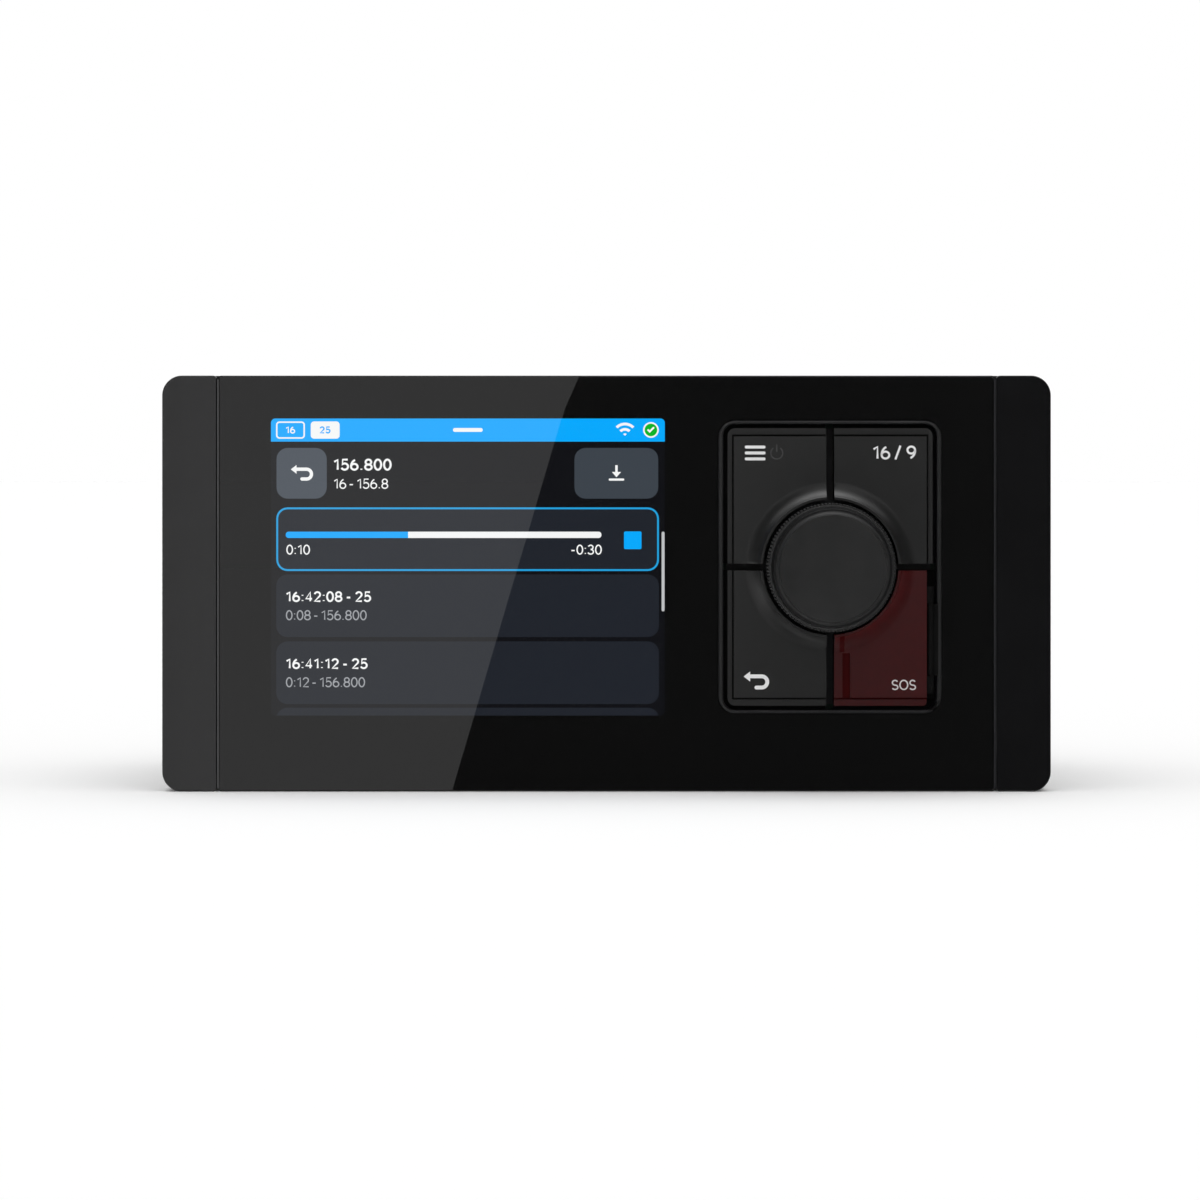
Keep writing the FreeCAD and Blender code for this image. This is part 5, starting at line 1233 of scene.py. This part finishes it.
@dataclass
class Keys(Assembly):
    """Corner keys, distress button and its cover."""

    key_edge: float = 0.14
    cover_edge: float = 0.1
    button_edge: float = 0.3
    recess_level: float = 11.5
    foot_level: float = 9.0
    hinge_left: float = 65.9
    flare_drop: float = 9.0
    flare_slack: float = 0.01
    band: Point = (47.9, 48.9)
    groove: Point = (48.48, 50.12)
    groove_low: float = -23.45
    groove_depth: float = 0.4
    groove_slack: float = 0.1
    notch: Point = (-23.85, -23.39)
    notch_levels: Point = (11.0, 11.7)

    def build(self) -> None:
        """Round the edges of the keys, paint shade on what lies deep and by the hinge, and dress the cover.
        """
        for body in (Body.MENU, Body.CHANNEL, Body.BACK):
            key = self.soften(body.value, Look.KEY, "key_grey", self.key_edge, body)
            # Painted shade: the key's faces behind the recess level, its groove floor and side walls.
            self.repaint(key, Look.RECESS, lambda c: c.y > -self.recess_level)
        cover = self.soften("distress_cover", Look.COVER, "cover_red", self.cover_edge, Body.COVER,
                            self.part_flare)
        # Painted shade: the groove, the notch and the band up the flare take the darker red.
        self.repaint(cover, Look.COVER_DEEP, self.in_groove)
        # Painted shade: the cover's edge and knuckles past the hinge line.
        self.repaint(cover, Look.HINGE, lambda c: c.x > self.hinge_left)
        button = self.soften("distress_button", Look.BUTTON, "button_red", self.button_edge,
                             Body.DISTRESS)
        # Painted shade: the button's faces behind its foot level.
        self.repaint(button, Look.RECESS, lambda c: c.y > -self.foot_level)
        # Painted shade: the steel pin takes the near-black hinge finish, so it shows dark like the gap beside
        # it.
        self.coat(Look.HINGE, "distress_cover_pin")

    def on_flare(self, place: Vector) -> bool:
        """Whether a place, in millimetres, is in front of the cover's face, on the flare round the knob."""
        return -place.y > KEY_LEVEL + self.flare_slack and place.z < KNOB_Z - self.flare_drop

    def in_groove(self, place: Vector) -> bool:
        """Whether a place lies in the cover's groove, its notch at the foot or the band up the flare.

        Args:
            place: The place, in millimetres.

        Returns:
            Whether it does.
        """
        if self.on_flare(place):
            return self.band[0] < place.x < self.band[1]
        level, (back, front) = -place.y, self.notch_levels
        at_bottom = abs(level - KEY_LEVEL + self.groove_depth) < self.groove_slack
        in_line = self.groove[0] < place.x < self.groove[1] and self.groove_low < place.z
        in_notch = self.notch[0] < place.z < self.notch[1] and back < level < front
        return (at_bottom and in_line) or in_notch

    def part_flare(self, cover: Thing) -> None:
        """Cut the flare's faces along both sides of the band of painted shade.

        Args:
            cover: The cover, in edit mode.
        """
        for x in self.band:
            Bench.pick(cover, "FACE", lambda f: self.on_flare(f.calc_center_median() / MM))
            bpy.ops.mesh.bisect(plane_co=(x * MM, 0, 0), plane_no=(1, 0, 0))


@dataclass
class Knob(Assembly):
    """Selector knob with a grip of fine ribs."""

    cap_edge: float = 0.12
    side_radius: float = 11.55
    tip: float = 25.0
    dish_radius: float = 10.9
    dish_depth: float = 0.8
    dish_rings: int = 8
    rear: float = 11.9
    grip_height: float = 6.6
    grip_edge: float = 0.3
    inner: float = 11.1
    core: float = 12.85
    crest: float = 13.2
    ribs: int = 110
    rib_root: float = 0.3
    rib_shorter: float = 0.5
    rib_share: float = 0.68
    rib_edge: float = 0.13

    def build(self) -> None:
        """Round the cap, paint shade on its side and make the ribbed grip."""
        cap = self.soften("knob_cap", Look.KNOB, "knob_black", self.cap_edge, Body.KNOB, self.dish)
        # Painted shade: the cap's side beyond the front takes the darker finish.
        self.repaint(cap, Look.KNOB_SIDE, self.on_side)
        self.grip()
        self.coat(Look.STEEL, "encoder_shaft")

    def on_side(self, place: Vector) -> bool:
        """Whether a place, in millimetres, is at the cap's side."""
        return math.hypot(place.x - KNOB_X, place.z - KNOB_Z) > self.side_radius

    def at_tip(self, face: Element) -> bool:
        """Whether a face belongs to the cap's flat front."""
        return face.normal.y < -0.999 and -face.calc_center_median().y / MM > self.tip - 0.01

    def dish(self, cap: Thing) -> None:
        """Hollow the flat front by rings, deepest in the middle.

        Args:
            cap: The cap, in edit mode.
        """
        Bench.pick(cap, "FACE", self.at_tip)
        step = self.dish_radius / self.dish_rings
        for ring in range(self.dish_rings - 1):
            outer, inner = 1 - ring / self.dish_rings, 1 - (ring + 1) / self.dish_rings
            fall = self.dish_depth * (outer ** 2 - inner ** 2)
            bpy.ops.mesh.inset(thickness=step * MM, depth=-fall * MM)

    def grip(self) -> None:
        """Turn the core, shape one rib from a block and copy it round the core."""
        front, edge = self.rear + self.grip_height, self.grip_edge
        core = Bench.turn("grip_core", [
            (self.inner, -self.rear), (self.core, -self.rear), (self.core, -front + edge),
            (self.core - edge, -front), (self.inner, -front), (self.inner, -self.rear),
        ], self.ribs)
        Bench.calm()
        bpy.ops.mesh.primitive_cube_add(size=MM)
        rib = bpy.context.object
        rib.name = "grip_rib"
        Bench.edit(rib)
        depth, pitch = self.crest - self.core + self.rib_root, math.tau * self.crest / self.ribs
        middle = -(self.rear + self.grip_height / 2) * MM
        bpy.ops.transform.resize(value=(depth, self.grip_height - self.rib_shorter, pitch * self.rib_share))
        bpy.ops.transform.translate(value=((self.crest - depth / 2) * MM, middle, 0))
        reach = self.crest * MM - 1e-6
        Bench.pick(rib, "EDGE", lambda e: all(v.co.x > reach for v in e.verts))
        bpy.ops.mesh.bevel(offset=self.rib_edge * MM, segments=2)
        bpy.ops.mesh.select_mode(type="VERT")
        bpy.ops.mesh.select_all(action="SELECT")
        bpy.ops.mesh.spin(steps=self.ribs, angle=math.tau, center=(0, 0, 0), axis=(0, 1, 0), dupli=True)
        bpy.ops.mesh.select_all(action="SELECT")
        bpy.ops.mesh.remove_doubles(threshold=Bench.DOUBLES / 2)
        Bench.take(core)
        rib.select_set(True)
        bpy.ops.object.join()
        core.name = "knob_grip_ribs"
        Bench.settle(core, KNOB_X, 0, KNOB_Z)
        self.add(core, Look.GRIP, Body.KNOB, "grip_rubber", "knob_grip_ring")


@dataclass
class ThreadedSocket(Assembly):
    """Metal rear socket with a cut thread."""

    solid: str = "antenna_socket"
    x: float = -56.0
    z: float = 8.0
    radius: float = 7.94
    length: float = 15.0
    bore: float = 5.6
    depth: float = 12.0
    flange: float = 11.0
    flange_height: float = 2.0
    flange_edge: float = 0.25
    neck: float = 1.0
    neck_length: float = 8.0
    pitch: float = 1.06
    cut: float = 0.45
    mouth_edges: Point = (0.3, 0.15)
    chords: int = 72

    def build(self) -> None:
        """Turn the shell from a section with its thread in it."""
        base, end, root = REAR_WALL, REAR_WALL + self.length, self.radius - self.cut
        rim = base + self.flange_height
        neck, low = self.radius - self.neck, base - self.neck_length
        outside, inside = self.mouth_edges
        section = [(0.0, low), (neck, low), (neck, base), (self.flange, base),
                   (self.flange, rim - self.flange_edge), (self.flange - self.flange_edge, rim), (root, rim)]
        y = rim + self.pitch
        while y + self.pitch < end - outside:
            section += [(root, y), (self.radius, y + self.pitch * 0.38),
                        (self.radius, y + self.pitch * 0.5), (root, y + self.pitch * 0.88)]
            y += self.pitch
        section += [(root, end - outside), (root - outside, end), (self.bore + inside, end),
                    (self.bore, end - inside), (self.bore, end - self.depth), (0.0, end - self.depth)]
        shell = Bench.turn(f"{self.solid}_thread", section, self.chords)
        Bench.settle(shell, self.x, 0, self.z)
        self.add(shell, Look.NICKEL, Body.RADIO, "nickel_plate", self.solid)


@dataclass
class Rear(Assembly):
    """Die-cast housing, sockets and fasteners behind the dash."""

    housing_edge: float = 0.45

    def build(self) -> None:
        """Dress what shows behind the dash."""
        self.soften("rear_housing", Look.HOUSING, "housing_black", self.housing_edge)
        network = ThreadedSocket(self.frame, "network_socket", x=-20.0, radius=6.0, length=12.0, bore=4.6,
                                 depth=9.0, flange=8.5, pitch=1.0, cut=0.4)
        for socket in (ThreadedSocket(self.frame), network):
            socket.build()
            self.made += socket.made
        for name, look, slot, edge in (
                ("handset_socket", Look.INSERT, "insert_black", 0.25),
                ("power_socket", Look.INSERT, "insert_black", 0.25),
                ("ground_screw", Look.STEEL, "plated_steel", 0.3),
                ("pressure_vent", Look.INSERT, "insert_black", 0.4),
                ("antenna_contact", Look.GOLD, "contact_gold", 0.12)):
            self.soften(name, look, slot, edge)
        self.coat(Look.INSULATOR, "antenna_insulator")
        self.coat(Look.INSERT, "network_insert", "handset_insert", "power_insert")
        self.coat(Look.GOLD, "network_pins", "handset_pins", "power_pins")
        self.coat(Look.STEEL, "housing_screws")
        self.coat(Look.NICKEL, "socket_nuts")


@dataclass
class Inside(Assembly):
    """Boards, display and modules inside the case."""

    def build(self) -> None:
        """Give each inner solid its finish."""
        self.coat(Look.BOARD, "main_board")
        self.coat(Look.KEY_BOARD, "key_board")
        self.coat(Look.STEEL, "encoder_body", "display_frame", "keypad_screws", "board_screws",
                  "receiver_shield")
        self.coat(Look.INSERT, "encoder_rotor", "board_connectors")
        self.coat(Look.SILICONE, "keypad_mat")
        self.coat(Look.PANEL, "display_panel")
        self.coat(Look.GUIDE, "display_backlight")
        self.coat(Look.FILM, "display_ribbon", "keypad_ribbon")
        self.coat(Look.ALUMINIUM, "heat_spreader")
        self.coat(Look.MODULE, "power_amplifier", "alarm_sounder")


@dataclass(frozen=True)
class Lamp:
    """Lamp for the gloss alone, aimed at the middle of the face; in metres and watts."""

    name: str
    place: Place
    size: Point
    power: float

    def build(self) -> None:
        """Make the lamp."""
        light = bpy.data.lights.new(self.name, "AREA")
        light.shape = "RECTANGLE"
        light.size, light.size_y = self.size
        light.energy = self.power
        lamp = bpy.data.objects.new(self.name, light)
        bpy.context.scene.collection.objects.link(lamp)
        lamp.location = self.place
        lamp.rotation_mode = "QUATERNION"
        lamp.rotation_quaternion = (-Vector(self.place)).to_track_quat("-Z", "Y")
        lamp.visible_diffuse = False
        lamp.visible_camera = False


@dataclass
class Cards:
    """Dark reflector cards in front, at both sides and on the floor, with a slanted bright window.

    They are in metres. The ends of the window's slanted side, and the eye, are in millimetres: the
    ends are given by where the glass shows them.
    """

    eye: Place
    y: float = -2.0
    top: float = 3.0
    far: float = 3.5
    back: float = 1.2
    near: float = -0.013
    lift: float = 0.0002
    left: float = -0.36
    near_left: float = -0.115
    window_top: float = 0.16
    strip: Point = (-0.25, 0.85)
    strip_light: float = 0.75
    dark: float = 0.045
    split_top: Point = (-6.69, 42.83)
    split_foot: Point = (-31.8, -42.8)

    def mirrored(self, place: Point) -> Point:
        """Where the front cards show in the glass at a place, in millimetres."""
        share = (-self.y / MM - GLASS_LEVEL) / self.eye[1]
        return tuple(at + (at - eye) * share for at, eye in zip(place, (self.eye[0], self.eye[2])))

    @staticmethod
    def card(name: str, light: float, corners: Sequence[Place]) -> None:
        """Card that only reflections see.

        Args:
            name: Name of the card.
            light: How bright it is, with 1 for white.
            corners: Its four corners in order.
        """
        Bench.calm()
        bpy.ops.mesh.primitive_plane_add(size=1.0)
        card = bpy.context.object
        card.name = name
        for vertex, corner in zip((card.data.vertices[n] for n in (0, 1, 3, 2)), corners):
            vertex.co = corner
        card.data.materials.append(CardLight(name, light).material())

    def upright(self, name: str, light: float, sides: Point, heights: Point) -> None:
        """Upright card in front, from its left and right sides and its lowest and highest edges."""
        (left, right), (low, high), y = sides, heights, self.y
        self.card(name, light, [(left, y, low), (right, y, low), (right, y, high), (left, y, high)])

    def flat(self, name: str, light: float, front: Point, back: Point) -> None:
        """Card on the floor, from the sides of its far front edge and of its edge by the radio."""
        y, near, z = self.y, self.near, FLOOR_Z * MM + self.lift
        self.card(name, light, [(front[0], y, z), (front[1], y, z), (back[1], near, z), (back[0], near, z)])

    def build(self) -> None:
        """Set the cards up."""
        top, foot = self.mirrored(self.split_top), self.mirrored(self.split_foot)
        slope = (top[0] - foot[0]) / (top[1] - foot[1])
        low, far, y, window = FLOOR_Z * MM, self.far, self.y, self.window_top
        split_low = (top[0] + (low / MM - top[1]) * slope) * MM
        split_high = (top[0] + (window / MM - top[1]) * slope) * MM
        self.card("card_front", self.dark,
                  [(split_low, y, low), (far, y, low), (far, y, window), (split_high, y, window)])
        over = (window, self.top)
        self.upright("card_over_left", self.dark, (self.left, self.strip[0]), over)
        self.upright("card_over_right", self.dark, (self.strip[1], far), over)
        self.upright("card_strip", self.strip_light, self.strip, over)
        self.upright("card_left", self.dark, (-far, self.left), (low, self.top))
        for side in (-1, 1):
            x = side * far
            self.card(f"card_side_{side}", self.dark,
                      [(x, y, low), (x, self.back, low), (x, self.back, self.top), (x, y, self.top)])
        near_split = self.split_foot[0] * MM
        self.flat("card_floor", self.dark, (split_low, far), (near_split, far))
        self.flat("card_floor_bright", 1.0, (self.left, split_low), (self.near_left, near_split))
        self.flat("card_floor_left", self.dark, (-far, self.left), (-far, self.near_left))


@dataclass
class Studio:
    """White floor and background, reflector cards, lamps for the gloss and the camera."""

    distance: float = 950.0
    eye_height: float = 25.0
    view_width: float = 247.1
    aim: Point = (-1.34, -3.37)
    clip_end: float = 50.0
    floor_width: float = 30.0
    sky_level: float = 0.29
    sky_crown: float = 2.2
    sky_crown_power: float = 4.0
    sky_sides: float = 0.05
    sky_front: float = 0.28
    lamps: tuple[Lamp, ...] = (Lamp("high_lamp", (0.05, -0.05, 0.7), (0.6, 0.5), 2.2),
                               Lamp("low_lamp", (-0.035, -0.13, -0.15), (0.1, 0.1), 0.2))

    def build(self) -> None:
        """Make everything round the radio."""
        self.camera()
        self.sky()
        self.floor()
        Cards((self.aim[0], self.distance, self.eye_height)).build()
        for lamp in self.lamps:
            lamp.build()

    def camera(self) -> None:
        """Long lens that looks level at the face from a little above its middle."""
        lens = bpy.data.cameras.new("camera")
        lens.lens = lens.sensor_width * self.distance / self.view_width
        lens.shift_y = (self.aim[1] - self.eye_height) / self.view_width
        lens.clip_end = self.clip_end
        camera = bpy.data.objects.new("camera", lens)
        bpy.context.scene.collection.objects.link(camera)
        camera.location = (self.aim[0] * MM, -(self.distance + GLASS_LEVEL) * MM, self.eye_height * MM)
        camera.rotation_euler = (math.pi / 2, 0, 0)
        bpy.context.scene.camera = camera

    def sky(self) -> None:
        """White surroundings to the eye and in reflections; as light, strongest from above."""
        world = bpy.data.worlds.new("surroundings")
        bpy.context.scene.world = world
        world.use_nodes = True
        tree = world.node_tree
        way = node(tree, "SeparateXYZ", {"Vector": node(tree, "TexCoord").outputs["Generated"]}).outputs
        crown = reckon(tree, "POWER", way["Z"], self.sky_crown_power)
        light = reckon(tree, "MULTIPLY_ADD", crown, self.sky_crown, self.sky_level)
        light = reckon(tree, "MULTIPLY_ADD", reckon(tree, "ABSOLUTE", way["X"]), -self.sky_sides, light)
        light = reckon(tree, "MULTIPLY_ADD", way["Y"], -self.sky_front, light)
        ray = node(tree, "LightPath").outputs
        seen = reckon(tree, "MAXIMUM", ray["Is Camera Ray"], ray["Is Glossy Ray"])
        seen = reckon(tree, "MAXIMUM", seen, ray["Is Transmission Ray"])
        strength = node(tree, "Mix", {"Factor": seen, "A": reckon(tree, "MAXIMUM", light, 0.0), "B": 1.0})
        feed(tree, tree.nodes["Background"], {"Strength": strength.outputs["Result"], "Color": (1, 1, 1, 1)})

    def floor(self) -> None:
        """Wide pale floor that keeps the radio's shadow and lets the low lamp through."""
        Bench.calm()
        bpy.ops.mesh.primitive_plane_add(size=self.floor_width, location=(0, 0, FLOOR_Z * MM))
        floor = bpy.context.object
        floor.name = "floor"
        floor.data.materials.append(FloorWhite("floor_white").material())
        floor.visible_shadow = False


def main() -> None:
    """Dress the radio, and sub-assembly by sub-assembly."""
    logging.basicConfig(level=logging.INFO, format="%(message)s")
    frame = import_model()
    bpy.context.scene.view_settings.view_transform = "Standard"
    Studio().build()
    for part in (Face, Picture, Keys, KeyMarks, Knob, Rear, Inside):
        assembly = part(frame)
        assembly.build()
        LOG.info("%s: %d new pieces", part.__name__, assembly.made)


if __name__ == "__main__":
    main()
